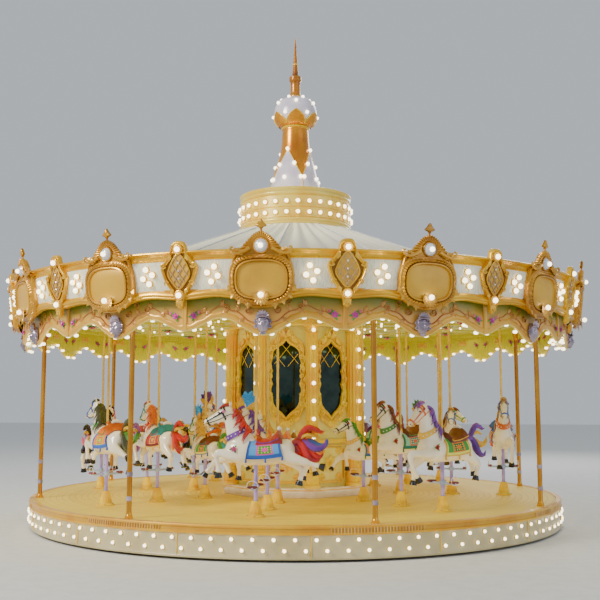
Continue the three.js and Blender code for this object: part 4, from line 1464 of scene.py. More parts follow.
@dataclass
class Ceiling:
    """The ceiling's painted underside, its gilt ribs, its lamps and its painted roses.

    Attributes:
        inner, outer: Where the ribs start, and where they end behind the valance.
        ribs: How many there are.
        lamp_rings: The radius and the number of lamps of each ring of small lamps.
        ring_radii, rose_radii: The radii of the round mouldings and of the rings of roses.
    """

    inner: float = 1.06
    outer: float = 3.56
    ribs: int = 16
    lamp_rings: tuple[tuple[float, int], ...] = ((1.3, 24), (1.62, 28), (2.6, 48))
    ring_radii: tuple[float, ...] = (1.2, 1.9, 2.63, 3.38)
    rose_radii: tuple[float, float] = (2.45, 3.2)

    def build(self) -> None:
        """Dresses the frame's disc and hangs ribs, rings, lamps and roses under it."""
        dress("ceiling", CANOPY)
        under = CEILING_Z - 0.001
        start = POLE_ANGLE / 2
        piece = Piece("ceiling_ribs", [GOLD_PALE, ROSE_PINK, LEAF_GREEN, CANOPY])
        across = mm((-30, 0), (-26, -12), (-12, -22), (12, -22), (26, -12), (30, 0), at=(0, under))
        ends = np.array([[self.inner], [self.outer]])
        piece.add(grid(upright(np.broadcast_to(across, (2, 6, 2)), -ends), 3).ring(self.ribs, start))
        for radius in self.ring_radii:
            piece.add(band(mm((-20, 0), (-14, -14), (14, -14), (20, 0), at=(radius, under)), 3, 112))
        rose = join([rosette(0.075, 5, 1), *spray(leaf(0.15, 0.035, 2, 0.05, 2), (70, 110, 250, 290))])
        for radius in self.rose_radii:
            piece.add(rose.turned(90, "x").at(0, radius, under - 0.002).ring(self.ribs, 0.0))
        piece.build()
        lamps = Piece("ceiling_lamps", [LAMP, GOLD_PALE])
        bulb = join([globe(0.018, 0).moved(z=-0.034), lathe(mm((14, -20), (18, -6), (0, 0)), 8, 1)])
        for radius, count in self.lamp_rings:
            lamps.add(bulb.at(0, radius, under).ring(count, start))
        lamps.build()


# Roof and crown


@dataclass
class Roof:
    """The cloth roof: a gore over each bay of boards, pleated between its seams.

    Attributes:
        edge: The roof's edge (r, z).
        top: Its top (r, z).
        pleats: Pleats in a gore.
        columns: Columns of each gore.
        thickness: From the outer skin to the inner one.
    """

    edge: tuple[float, float] = (3.946, 3.042)
    top: tuple[float, float] = (0.838, 4.231)
    pleats: int = 4
    columns: int = 32
    thickness: float = 0.018

    def skin(self, drop: float) -> Array:
        """A table of points on the cone from the edge to the top.

        Between two seams the cloth sinks by 26 mm * sin(pi across)^2 * sin(pi (up + 0.08))^0.5, and its
        pleats by 24 mm * (1 - cos(2 pi pleats across)), which grow over the lower half and end at the drum.

        Args:
            drop: How far the skin lies under the outer one.

        Returns:
            (14, n, 3) points from the edge to the top.
        """
        up = np.linspace(0, 1, 14)[:, None]
        angle = np.linspace(0, 360, BAYS * self.columns + 1)[None, :]
        across = (angle / BAY_STEP) % 1
        sag = 0.026 * np.sin(np.pi * across) ** 2 * np.sin(np.pi * np.clip(up + 0.08, 0, 1)) ** 0.5
        fading = np.clip(up * 2, 0, 1) * np.clip((1 - up) * 25, 0, 1)
        fold = 0.024 * (1 - np.cos(TAU * self.pleats * across)) * fading
        (low_r, low_z), (top_r, top_z) = self.edge, self.top
        z = low_z + (top_z - low_z) * up - sag - fold - drop * (1 - up)
        return round_points(angle, low_r + (top_r - low_r) * up, z)

    def build(self) -> None:
        """The cloth with its underside, and a piped seam over each gore's joint."""
        piece = Piece("roof_cloth", [ROOF_CLOTH_LIT_NEAR_DRUM, ROOF_SEAM])
        table = np.concatenate([self.skin(0.0), self.skin(self.thickness)[::-1], self.skin(0.0)[:1]])
        piece.add(grid(table))
        line = np.array([(0, -self.edge[0], self.edge[1] + 0.004), (0, -self.top[0], self.top[1] + 0.002)])
        seam = tube(line, 0.012, 6, 1, 0.6)
        piece.add(seam.ring(BAYS))
        piece.shapes = [shape.turned(SHIELD_ANGLE) for shape in piece.shapes]
        piece.build("roof")


@dataclass
class Crown:
    """The crown on the roof: a lit drum, a gilt tower with four white sails and a bulb, and a spire.

    Attributes:
        drum_radius, drum_lamps: The drum's wall, and the lamps in each of its two rows.
        tower: The tower's outline (r, z) from its foot to its top.
        sails, sail_tip: How many sails it has, and the height of their tips.
        sail_slope: How much a sail's half width grows for each metre down from its tip.
        sail_rows: The heights of the rows of 1, 2, 3 and 4 lamps on a sail.
        petals: Gilt points round the bulb.
    """

    drum_radius: float = 0.828
    drum_lamps: int = 32
    tower: tuple[tuple[float, float], ...] = ((0.44, 4.7706), (0.388, 4.89), (0.34, 5.03), (0.299, 5.18),
        (0.247, 5.4), (0.215, 5.6), (0.202, 5.8), (0.2, 5.875), (0.262, 5.915), (0.318, 6.01),
        (0.329, 6.12), (0.305, 6.22), (0.245, 6.3), (0.15, 6.35), (0.092, 6.3747))
    sails: int = 4
    sail_tip: float = 5.51
    sail_slope: float = 0.51
    sail_rows: tuple[float, ...] = (5.5, 5.26, 5.04, 4.83)
    petals: int = 6

    def radius_at(self, z: Any) -> Any:
        """The tower's radius at a height."""
        outline = np.asarray(self.tower)
        return np.interp(z, outline[:, 1], outline[:, 0])

    def drum(self) -> None:
        """The drum: an upright wall between stepped mouldings, with two rows of lamps in line."""
        low, top, r = 4.2326, 4.7698, self.drum_radius
        piece = Piece("crown_drum_case", [GOLD_DRUM, GOLD_PALE, LAMP])
        profile = [(0, low), *mm((-10, 0), (14, 0), (18, 8), (14, 26), (6, 36), (12, 50), (12, 66), (3, 80),
            (0, 88), (0, 115), (0, 260), at=(r, low)), *mm((0, -130), (0, -105), (4, -98), (10, -90),
            (10, -72), (4, -64), (6, -40), (14, -26), (20, -18), (20, -4), (12, 0), at=(r, top)),
            (0.42, top), (0, top)]
        piece.add(lathe(profile, 128))
        for z in (low + 0.098, low + 0.243, top - 0.117):
            piece.add(lathe(mm((0, -7), (5, -5), (7, 0), (5, 5), (0, 7), at=(r, z)), 128, 1))
        ring = lathe(mm((44, 0), (44, 9), (31, 16)), 10, 1).turned(90, "x")
        spot = join([globe(0.031, 2).moved(y=-0.022), ring])
        for z in (low + 0.165, low + 0.325):
            piece.add(spot.at(0, r, z).ring(self.drum_lamps))
        piece.build("crown_drum")

    def plate_on(self, low: float, high: float, half: Array, proud: float, finish: int) -> Shape:
        """A thin plate that lies on the tower, with a bead (finish 1) along both of its sides.

        Args:
            low: The height of its foot.
            high: The height of its tip.
            half: Half its width in degrees, at heights evenly spaced from foot to tip.
            proud: How far it stands off the tower.
            finish: The plate's finish number.

        Returns:
            The plate, round the angle 0.
        """
        z = np.linspace(low, high, len(half))[:, None]
        share = np.linspace(-1, 1, 7)[None, :]
        share = np.concatenate([share[:, :1], share, share[:, -1:]], 1)
        lift = np.concatenate([[[-0.002]], np.full((1, 7), proud), [[-0.002]]], 1)
        face = grid(round_points(half[:, None] * share, self.radius_at(z) + lift, z)[:, ::-1], finish)
        rims = [tube(round_points(side * half, self.radius_at(z[:, 0]) + proud, z[:, 0]), 0.007, 5, 1)
            for side in (-1, 1)]
        return join([face] + rims)

    def sail_half(self, z: Any) -> Any:
        """Half a sail's angle: arcsin(slope * (tip - z) / radius), up to half the way to the next sail."""
        share = self.sail_slope * np.clip(self.sail_tip - z, 0, None) / self.radius_at(z)
        return np.degrees(np.arcsin(np.clip(share, 0, math.sin(math.pi / self.sails))))

    def sail(self) -> Shape:
        """A white sail with rows of one, two, three and four lamps, the last shared with the next sail."""
        low = 4.784
        parts = [self.plate_on(low, self.sail_tip, self.sail_half(np.linspace(low, self.sail_tip, 19)),
            0.012, 2)]
        for row, z in enumerate(self.sail_rows):
            edge = float(self.sail_half(z)) * (0.9 if row < 3 else 1.0)
            angles = np.linspace(-edge, edge, row + 1)[:3] if row else np.zeros(1)
            parts += [globe(0.03, 3).at(float(a), float(self.radius_at(z)) + 0.026, z) for a in angles]
        return join(parts)

    def bell(self) -> None:
        """The tower: a smooth gold bell with its sails, and a white bulb that rises out of gilt points."""
        outline = spline(self.tower, 43)
        bulb = outline[:, 1] > 5.9
        piece = Piece("crown_bell", [GOLD_NECK, GOLD_PALE, SAIL_WHITE, LAMP])
        foot = [(0, 4.7706), (0.4, 4.7706)]
        piece.add(lathe(np.concatenate([foot, outline[~bulb], outline[bulb][:1]]), 64))
        piece.add(lathe(np.concatenate([outline[bulb], [(0, 6.3747)]]), 64, 2))
        piece.add(lathe(mm((442, 4771.5), (448, 4780), (445, 4792), (432, 4798)), 64, 1))
        piece.add(lathe(mm((196, 5848), (214, 5856), (220, 5868), (214, 5880), (196, 5888)), 48, 1))
        first = SHIELD_ANGLE - 1.75 * BAY_STEP / 2
        piece.add(self.sail().ring(self.sails, first))
        v = np.linspace(0, 1, 15)
        step = 360 / self.petals
        petal = self.plate_on(5.9, 6.09, 0.5 * step * (1 - v**1.7), 0.016, 0)
        piece.add(petal.ring(self.petals, first + step / 2))
        for z, turn in ((6.05, 0.0), (6.235, 0.5), (6.325, 0.0)):
            spot = globe(0.027, 3).at(0, float(self.radius_at(z)) + 0.016, z)
            piece.add(spot.ring(self.petals, first + step * turn))
        piece.build("crown_tower")

    def spire(self) -> None:
        """The neck with its collar, and the thin spire."""
        piece = Piece("crown_spire", [COPPER, GOLD_PALE])
        piece.add(lathe(mm((0, 6375.2), (88, 6375.2), (90, 6390), (80, 6410), (76, 6450), (74, 6540),
            (75, 6610), (82, 6622), (94, 6635), (97, 6650), (92, 6663), (96, 6680), (92, 6698), (70, 6706),
            (50, 6725), (41, 6800), (34, 6900), (27, 7000), (20, 7120), (13, 7240), (8, 7319.5), (0, 7320)),
            24))
        piece.add(lathe(mm((30, 6885), (40, 6893), (42, 6902), (38, 6912), (28, 6918)), 16, 1))
        piece.build("spire")

    def build(self) -> None:
        """Builds the crown from the roof up."""
        self.drum()
        self.bell()
        self.spire()



# Centre drum


@dataclass
class CentreDrum:
    """The eight-sided drum: plinth, panels, mirrors in carved frames, lit columns and entablature.

    Attributes:
        face, mirror_face: From the axis to a face's wall, and to the mirrors' glass.
        column_radius, column: Where the columns stand, and their own radius.
        plinth_top: The plinth's top.
        lamp_step, column_lamps: Between two lamps of a column, and how many it has.
    """

    face: float = 0.8185
    mirror_face: float = 0.8288
    column_radius: float = 0.965
    column: float = 0.09
    plinth_top: float = 0.5106
    lamp_step: float = 0.245
    column_lamps: int = 8

    def eight(self, profile: Sequence[Sequence[float]], finish: int = 0) -> Shape:
        """A moulding round the eight-sided drum: (r, z) with r from the axis to the middle of a face."""
        line = np.asarray(profile, float)
        turn = np.radians(POLE_ANGLE + STATION_STEP * np.arange(STATIONS + 1))[None, :]
        radius = line[:, :1] / math.cos(math.radians(POLE_ANGLE))
        return grid(swept(turn, radius, line[:, 1:]), finish)

    def plinth(self) -> None:
        """The white plinth: two steps with a rolled edge and a gold fillet."""
        low, top = DECK_TOP + 0.0003, self.plinth_top
        inner = self.face - 0.03
        piece = Piece("core_plinth_steps", [PLINTH_WHITE, GOLD_PALE])
        piece.add(self.eight([(inner, low), *mm((974, 0), (978.5, 6), (978.5, 70), (972, 84), (958, 90),
            at=(0, low)), *mm((958, -16), (950, -4), (940, 0), at=(0, top)), (inner, top), (inner, low)]))
        piece.add(self.eight(mm((956, 94), (963, 100), (963, 106), (956, 112), at=(0, low)), 1))
        piece.build("core_plinth")

    def panel_outline(self, low: float, high: float, half: float) -> Array:
        """A moulded panel's outline with notched corners."""
        nick = 0.05
        keys = [(-half + nick, low), (half - nick, low), (half - nick, low + nick), (half, low + nick),
            (half, high - nick), (half - nick, high - nick), (half - nick, high), (-half + nick, high),
            (-half + nick, high - nick), (-half, high - nick), (-half, low + nick),
            (-half + nick, low + nick), (-half + nick, low)]
        return np.array(keys)

    def face_relief(self) -> Shape:
        """What a face carries under its mirror: a cream panel, its gilt moulding, a flower and scrolls."""
        outline = self.panel_outline(0.575, 1.075, 0.245)
        parts = [layered(outline, mm((1000, 0), (1000, 8), (0, 8)), (0, 0.825))]
        for shrink, thick in ((1.0, 0.013), (0.9, 0.006)):
            flat = (outline - [0, 0.825]) * shrink + [0, 0.825]
            parts.append(tube(upright(flat, -0.01), thick, 6, 1))
        parts += spray(leaf(0.13, 0.038, 2, 0.15, 1), range(0, 360, 45), 0, -0.008, 0.825)
        parts.append(rosette(0.045, 6, 2).moved(y=-0.026, z=0.825))
        for z, a, turns in ((0.665, 200, 1.5), (0.985, 160, -1.5)):
            curl = scroll(0.055, turns, a, (0.15, -0.014, z), 0.013, 1, 6 / 13)
            parts += both_sides([curl, *spray(leaf(0.1, 0.026, 2, 0.15, 1), [a - 110], 0.09, -0.01, z)])
        return join(parts)

    def lobed(self, corners: Sequence[Sequence[float]], bulges: Sequence[float], count: int = 7) -> Array:
        """A closed outline with cusps, mirrored in x = 0.

        Between corners a and b it runs as a + (b - a) t + bulge sin(pi t) n, with n the outward normal.

        Args:
            corners: (x, z) of its right half from the bottom to the top.
            bulges: How far each span swells outwards.
            count: Points of a span.

        Returns:
            (n, 2) points, closed.
        """
        knots = np.asarray(corners, float)
        t = np.linspace(0, 1, count, endpoint=False)[None, :, None]
        span = (knots[1:] - knots[:-1])[:, None]
        normal = np.stack([span[..., 1], -span[..., 0]], -1) / np.linalg.norm(span, axis=-1, keepdims=True)
        swell = np.asarray(bulges)[:, None, None]
        half = (knots[:-1, None] + span * t + swell * np.sin(np.pi * t) * normal).reshape(-1, 2)
        half = np.concatenate([half, knots[-1:]])
        return np.concatenate([half, half[-2::-1] * [-1, 1]])

    def frame(self) -> Shape:
        """A carved mirror frame: a lofted board between cusped outlines, a beaded rim, scrolls and leaves.

        The opening is pointed above and below. Round the board a flat spandrel reaches the columns: each
        point of the outline is pushed straight out from the middle until it meets a rectangle.
        """
        inner = self.lobed(mm((0, 1462), (115, 1580), (188, 1760), (186, 1940), (188, 2120), (186, 2300),
            (115, 2455), (0, 2553)), (-0.01, 0.024, 0.025, 0.025, 0.025, 0.03, -0.014))
        outer = self.lobed(mm((0, 1325), (150, 1420), (262, 1660), (266, 1890), (266, 2120), (260, 2350),
            (185, 2570), (0, 2735)), (-0.012, 0.02, 0.022, 0.022, 0.022, 0.03, -0.02))
        section = mm((0, -2), (0, 20), (60, 34), (160, 36), (260, 26), (500, 21), (720, 26), (800, 36),
            (930, 36), (1000, 20), (1000, -2))
        share, proud = section.T
        parts = [grid(upright(outer + share[:, None, None] * (inner - outer), -proud[:, None]), 1)]
        middle, reach = np.array([0, 2.03]), np.array([0.345, 0.735])
        away = outer - middle
        corner = middle + away * np.min(reach / (np.abs(away) + 1e-9), axis=1, keepdims=True)
        parts.append(grid(upright(np.stack([corner, outer]), -0.004), 0))
        parts.append(self.rope((inner - [0, 2.0]) * [1.04, 1.012] + [0, 2.0], 0.038, 0.0095))
        scrolls = ((235, 1660, 36, 1.5, 120), (232, 1790, 34, -1.5, 200), (236, 1920, 36, 1.5, 90),
            (232, 2050, 34, -1.4, 240), (236, 2180, 36, 1.5, 60), (230, 2310, 36, -1.5, 180),
            (190, 2440, 45, 1.5, 30), (55, 2645, 50, -1.7, 250), (125, 2560, 42, 1.5, 80),
            (160, 1530, 36, 1.5, 30), (70, 1420, 36, -1.5, 0))
        carved = [scroll(size / 1000, turns, start, (x / 1000, -0.034, z / 1000), 0.015, 1, 7 / 15) for x,
            z, size, turns, start in scrolls]
        for x, z, a, size in ((255, 1600, 20, 100), (262, 1800, -12, 100), (262, 1960, 12, 100),
                (262, 2100, -12, 100), (262, 2250, 12, 100), (250, 2380, -28, 110), (120, 1420, 60, 110),
                (170, 2500, -42, 130)):
            carved += spray(leaf(size / 1000, 0.026, 3, 0.16, 1), [a], x / 1000, -0.03, z / 1000)
        parts += both_sides(carved)
        parts += spray(leaf(0.12, 0.024, 2, 0.25, 1), range(-60, 61, 30), 0, -0.038, 2.6)
        parts += spray(leaf(0.11, 0.026, 2, 0.2, 1), range(120, 241, 30), 0, -0.034, 1.42)
        return join([*parts, globe(0.024, 1, 12).moved(y=-0.05, z=2.6)])

    def rope(self, line: Array, out: float, radius: float) -> Shape:
        """A beaded cord along a closed outline: two rings for each point, every second one thicker."""
        count = 2 * len(line)
        place = np.linspace(0, len(line) - 1, count)
        dense = np.stack([np.interp(place, np.arange(len(line)), line[:, k]) for k in range(2)], -1)
        return tube(upright(dense, -out), radius * (0.7 + 0.3 * (np.arange(count) % 2)), 5, 1)

    def glazing(self) -> Shape:
        """The thin gilt bars that cross in the upper part of each mirror."""
        lines = (((-0.17, 2.22), (0.06, 2.49)), ((0.17, 2.22), (-0.06, 2.49)), ((-0.17, 2.36),
            (-0.02, 2.18)), ((0.17, 2.36), (0.02, 2.18)))
        return join(tube(np.array([(x, -0.006, z) for x, z in line]), 0.0042, 5, 1) for line in lines)

    def pillar(self) -> Shape:
        """One column: a wide round base, a fluted shaft and a leafy capital."""
        base, top = self.plinth_top + 0.0003, CEILING_Z - 0.11
        r = self.column
        foot = [(0, base), *mm((26, 0), (26, 30), (22, 45), (8, 55), (10, 80), (16, 120), (8, 180),
            (-6, 210), (6, 225), (4, 240), (-6, 250), at=(r, base))]
        head = [*mm((-6, -90), (6, -86), (6, -76), (-4, -72), (0, -50), (14, -22), (26, -12), (26, 0),
            at=(r, top)), (0, top)]
        v = np.linspace(0, 1, 2)[:, None]
        a = np.linspace(0, TAU, 73)[None, :]
        radius = (r - 0.002) * (1 - 0.11 * np.abs(np.sin(6 * a)) ** 0.7)
        shaft = grid(swept(a, radius, base + 0.25 + (top - 0.09 - base - 0.25) * v), 2)
        petal = leaf(0.062, 0.024, 2, 0.2, 1).at(0, r - 0.004, top - 0.072)
        return join([lathe(foot, 20, 1), shaft, lathe(head, 20, 1), petal.ring(8)])

    def columns(self) -> None:
        """The columns, the frames and the entablature in one piece, as the frame's node has them."""
        low, top = CEILING_Z - 0.11, CEILING_Z - 0.0003
        clear = self.mirror_face + 0.0006
        piece = Piece("core_front", [CREAM, GOLD_BRIGHT, GOLD_COLUMN])
        piece.add(self.eight([(clear, low), *mm((900, 0), (905, 10), (905, 30), (915, 36), (915, 75),
            (925, 85), (928.5, 100), at=(0, low)), (0.9285, top), (clear, top), (clear, low)], 1))
        piece.add(self.pillar().at(0, self.column_radius).ring(STATIONS, POLE_ANGLE))
        piece.add(join([self.frame(), self.glazing()]).at(0, clear).ring(STATIONS))
        piece.add(self.eight(mm((0, 1105), (16, 1108), (24, 1120), (18, 1135), (26, 1150), (20, 1165),
            (0, 1170), at=(clear, 0)), 1))
        piece.build("core_columns")

    def relief(self) -> None:
        """The panels' relief on the wall."""
        piece = Piece("core_relief", [CREAM, GOLD_BRIGHT, GOLD_BRIGHT])
        piece.add(self.face_relief().at(0, self.face + 0.0005).ring(STATIONS))
        piece.build()

    def lamps(self) -> None:
        """The globes up the front of each column."""
        piece = Piece("core_lamps", [LAMP, GOLD_PALE])
        front = self.column_radius + self.column - 0.012
        for n in range(self.column_lamps):
            z = self.plinth_top + 0.455 + self.lamp_step * n
            piece.add(lamp(0.029, 10).at(0, front, z).ring(STATIONS, POLE_ANGLE))
        piece.build()

    def build(self) -> None:
        """Builds the drum from the plinth up."""
        self.plinth()
        dress("core_wall", CREAM)
        dress("core_mirrors", MIRROR_GLASS_DARK_REFLECTION)
        self.columns()
        self.relief()
        self.lamps()
        for node in ("base_frame", "center_mast", "sweeps"):
            dress(node, STEEL)


# Horses


@dataclass(frozen=True)
class Limb:
    """A lofted part of a horse that faces +X: rings across a line in the XZ plane.

    Attributes:
        keys: (x, y, z, depth, width) of the rings, with the half depth measured in the XZ plane.
    """

    keys: Array

    def dense(self) -> Array:
        """97 rings along the limb, by splines."""
        return spline(self.keys, 97)

    def place_of(self, x: Any) -> Array:
        """The share along a limb that runs towards +X, at this x."""
        rings = self.dense()
        return np.interp(x, rings[:, 0], np.linspace(0, 1, len(rings)))

    def skin(self, t: Any, degrees: Any, out: Any = 0.0) -> Array:
        """Points on the limb or off it.

        A point is centre + (depth + out) * cos(a) * up + (width + out) * sin(a) * Y, where up is the line's
        direction in the XZ plane turned by a quarter, so a = 0 is the back, the crest or the forehead.

        Args:
            t: Shares along the limb, 0 to 1.
            degrees: Angles round the limb.
            out: Metres off the surface.

        Returns:
            The points, with the shape of the three tables together and 3 last.
        """
        rings = self.dense()
        step = np.linspace(0, 1, len(rings))
        t, a, out = np.broadcast_arrays(np.asarray(t, float), np.radians(degrees), np.asarray(out, float))
        x, y, z, depth, width = (np.interp(t, step, rings[:, i]) for i in range(5))
        along = np.gradient(rings[:, [0, 2]], axis=0)
        along /= np.linalg.norm(along, axis=1, keepdims=True)
        dx, dz = (np.interp(t, step, along[:, i]) for i in range(2))
        deep = (np.maximum(depth + out, 0.0)) * np.cos(a)
        return np.stack([x - deep * dz, y + np.maximum(width + out, 0.0) * np.sin(a), z + deep * dx], -1)

    def shape(self, rows: int, sides: int, finish: int = 0) -> Shape:
        """The limb as a closed shape, with its ends drawn together."""
        t = np.linspace(0, 1, rows)[:, None]
        table = self.skin(t, np.linspace(0, 360, sides + 1)[None, :])
        ends = [np.broadcast_to(table[i, :-1].mean(0), (1, sides + 1, 3)) for i in (0, -1)]
        return grid(np.concatenate([ends[0], table, ends[1]]), finish)

    def patch(self, t: Sequence[float], degrees: Sequence[float], out: float, finish: int,
            size: Sequence[int] = (2, 9), flare: float = 0.0) -> Shape:
        """A thin sheet that lies on the limb, with its edges turned in.

        Args:
            t: The first and the last share along the limb.
            degrees: The first and the last angle.
            out: Its height off the surface.
            finish: The finish number.
            size: Rows along the limb and columns round it.
            flare: How much longer the sheet gets towards its first and last angle, as a share.

        Returns:
            The sheet, with u round the limb and v along it.
        """
        rows, columns = size[0] + 2, size[1] + 2
        r = np.clip(np.linspace(-1, 1, rows) * (1 + 2 / (rows - 2)), -1, 1)[:, None]
        c = np.clip(np.linspace(-1, 1, columns) * (1 + 2 / (columns - 2)), -1, 1)[None, :]
        r[1], r[-2] = -1, 1
        c[0, 1], c[0, -2] = -1, 1
        height = np.full((rows, columns), out)
        height[[0, -1]] = height[:, [0, -1]] = -0.004
        place = (t[0] + t[1]) / 2 + (t[1] - t[0]) / 2 * r * (1 + flare * np.abs(c))
        angle = (degrees[0] + degrees[1]) / 2 + (degrees[1] - degrees[0]) / 2 * c
        result = grid(self.skin(place, angle, height), finish)
        result.uv = np.stack([(c + 0 * r + 1) / 2, (r + 0 * c + 1) / 2], -1).reshape(-1, 2)
        return result

    def lock(self, t: Sequence[float], degrees: Sequence[float], out: float, radius: float, wave: float,
            phase: float, finish: int) -> Shape:
        """A lock of hair that runs over the limb in soft waves and ends in a tip.

        Args:
            t: The first and the last share along the limb.
            degrees: The first and the last angle.
            out: Its height off the surface in its middle.
            radius: Its radius at the root.
            wave: The waves' height in degrees.
            phase: Where the waves start, in radians.
            finish: The finish number.

        Returns:
            The lock.
        """
        s = np.linspace(0, 1, 8)
        place = t[0] + (t[1] - t[0]) * s**1.2
        angle = degrees[0] + (degrees[1] - degrees[0]) * s + wave * np.sin(8.0 * s + phase) * s
        path = self.skin(place, angle, 0.35 * out + 0.65 * out * np.sin(np.pi * s))
        return tube(path, radius * (1 - 0.8 * s**1.5) * (0.75 + 0.25 * np.sin(np.pi
            * np.clip(2 * s, 0, 1))), 5, finish)


@dataclass(frozen=True)
class Pose:
    """A horse's carved pose, over the ground of its lowest hoof; every limb runs away from the trunk.

    The neck runs from the withers to the poll, the head on to the muzzle, each leg to its pastern and each
    hoof to its toe.
    """

    trunk: Limb
    neck: Limb
    head: Limb
    legs: tuple[Limb, ...]
    hooves: tuple[Limb, ...]


def midline(*rows: Sequence[float]) -> Limb:
    """A limb in the horse's middle plane, from rings (x, z, depth, width) in millimetres."""
    return Limb(mm(*((x, 0, z, deep, wide) for x, z, deep, wide in rows)))


def leg(side: int, fore: bool, *line: Sequence[float]) -> Limb:
    """A leg from its line: thick at the trunk, bony at the joints.

    Args:
        side: 1 for the near side, towards +Y, or -1.
        fore: A front leg; a hind one starts with a broad thigh.
        line: Nine points (x, z) from the trunk to the pastern, in millimetres.

    Returns:
        The leg.
    """
    sizes = ((85, 52), (75, 52), (58, 45), (46, 39), (43, 38), (30, 28), (27, 26), (34, 32), (30, 30))
    if not fore:
        sizes = ((125, 80), (108, 70), (72, 53), (52, 42), (47, 38), (32, 30), (29, 28), (34, 32), (30, 30))
    out = (68, 80, 84, 82, 80, 80, 80, 80, 80)
    return Limb(mm(*((x, side * y, z, *size) for (x, z), y, size in zip(line, out, sizes))))


def hoof(side: int, root: Sequence[float], toe: Sequence[float]) -> Limb:
    """A hoof from the pastern to the toe, (x, z) in millimetres, wider at its sole."""
    centre = [(a + b) / 2 for a, b in zip(root, toe)]
    rings = zip((root, centre, toe, toe), (33, 41, 47, 47))
    return Limb(mm(*((x, side * 80, z, r, r * 0.95) for (x, z), r in rings)))


def oval_line(wide: float, high: float, count: int) -> Array:
    """A closed oval line in the XZ plane, with these half axes."""
    a = arc(0, 360, count)
    return upright(np.stack([wide * np.cos(a), high * np.sin(a)], -1), 0.0)


GALLOP = Pose(trunk=midline((-455, 410, 30, 40), (-430, 405, 95, 95), (-360, 390, 132, 143),
    (-250, 370, 142, 157), (-100, 353, 141, 153), (60, 353, 145, 152), (180, 370, 152, 148),
    (270, 400, 137, 120), (325, 425, 90, 85), (350, 435, 30, 30)), neck=midline((90, 400, 150, 112),
    (175, 490, 148, 100), (235, 600, 122, 74), (272, 700, 97, 57), (298, 785, 78, 48), (308, 832, 35, 26)),
    head=midline((270, 836, 26, 26), (300, 828, 70, 47), (360, 800, 90, 60), (430, 767, 72, 55),
    (500, 735, 52, 45), (560, 707, 45, 41), (597, 690, 41, 39), (617, 681, 22, 24)), legs=(leg(1, True,
    (150, 370), (220, 325), (320, 335), (410, 357), (445, 335), (443, 280), (428, 200), (418, 155),
    (425, 125)), leg(-1, True, (160, 370), (250, 310), (360, 285), (460, 258), (500, 235), (540, 190),
    (575, 150), (595, 128), (610, 115)), leg(-1, False, (-260, 380), (-340, 315), (-420, 250), (-490, 200),
    (-525, 165), (-522, 120), (-512, 80), (-506, 55), (-497, 35)), leg(1, False, (-260, 380), (-350, 335),
    (-440, 298), (-530, 272), (-590, 253), (-640, 240), (-690, 227), (-730, 218), (-750, 212))),
    hooves=(hoof(1, (424, 130), (420, 72)), hoof(-1, (607, 118), (632, 75)), hoof(-1, (-499, 40),
    (-487, -12)), hoof(1, (-746, 213), (-803, 197))))

PRANCE = Pose(trunk=GALLOP.trunk, neck=midline((90, 410, 150, 112), (180, 510, 148, 100),
    (240, 620, 124, 75), (262, 730, 100, 58), (278, 815, 81, 49), (288, 862, 35, 26)),
    head=midline((254, 877, 26, 26), (282, 865, 70, 47), (335, 828, 90, 60), (392, 780, 72, 55),
    (447, 732, 52, 45), (495, 692, 45, 41), (522, 668, 41, 39), (537, 655, 22, 24)), legs=(leg(1, True,
    (150, 370), (260, 335), (390, 328), (530, 338), (600, 318), (598, 250), (550, 150), (510, 80),
    (487, 50)), leg(-1, True, (160, 360), (240, 290), (320, 230), (390, 185), (410, 155), (408, 110),
    (402, 60), (400, 25), (405, 0)), leg(1, False, (-260, 380), (-340, 315), (-420, 255), (-490, 210),
    (-535, 175), (-530, 120), (-515, 70), (-508, 45), (-500, 25)), leg(-1, False, (-260, 380), (-350, 320),
    (-440, 278), (-520, 248), (-575, 222), (-592, 175), (-610, 120), (-622, 90), (-630, 70))),
    hooves=(hoof(1, (490, 55), (463, 5)), hoof(-1, (404, 5), (412, -46)), hoof(1, (-502, 30), (-490, -22)),
    hoof(-1, (-629, 75), (-640, 22))))


class Part(IntEnum):
    """The numbers of a horse's finishes."""

    COAT = 0
    MANE = 1
    STRAP = 2
    BLANKET = 3
    SADDLE = 4
    TRIM = 5
    HOOF = 6
    BRASS = 7
    SLEEVE = 8
    REST = 9
    PEDAL = 10
    FLOWER = 11
    FRINGE = 12
    WIRE = 13
    GILT = 14
    TAIL = 15
    PLUME = 16
    PLUME_EDGE = 17
    LEAF = 18


@dataclass(frozen=True)
class Outfit:
    """The finishes of one horse, by their names in PAINTS and CLOTHS.

    Attributes:
        strap: Bridle, breast strap and crupper.
        trim: The saddle's roll and the collar.
        fringe: The blanket's binding and tassels.
        plume: The plume's feathers, or none.
    """

    mane: str
    tail: str
    strap: str
    blanket: str
    saddle: str
    trim: str
    flower: str
    fringe: str
    plume: str = ""


def placed(shape: Shape, point: Array, outward: float) -> Shape:
    """A shape that looks along -Y, put at a point and turned to look along +Y or -Y."""
    return shape.turned(180 if outward > 0 else 0).moved(*point)


def skin_of(pose: Pose) -> Shape:
    """The carved body: the limbs, cheeks, haunches and shoulders, melted into one skin."""
    limbs = [pose.trunk.shape(21, 18), pose.neck.shape(15, 16), pose.head.shape(17, 16)]
    limbs += [part.shape(25, 12) for part in pose.legs]
    ball = globe(0.5, 0, 14)
    for side in (1, -1):
        for limb, place, angle, out, size in ((pose.head, 0.36, 100, -0.034, (0.13, 0.06, 0.13)),
                (pose.trunk, pose.trunk.place_of(-0.3), 78, -0.085, (0.24, 0.17, 0.22)), (pose.trunk,
                pose.trunk.place_of(0.17), 82, -0.075, (0.17, 0.13, 0.24))):
            limbs.append(ball.scaled(*size).moved(*limb.skin(place, angle * side, out)))
    return soften(join(limbs), voxel=0.0155, passes=3, kept=0.38)


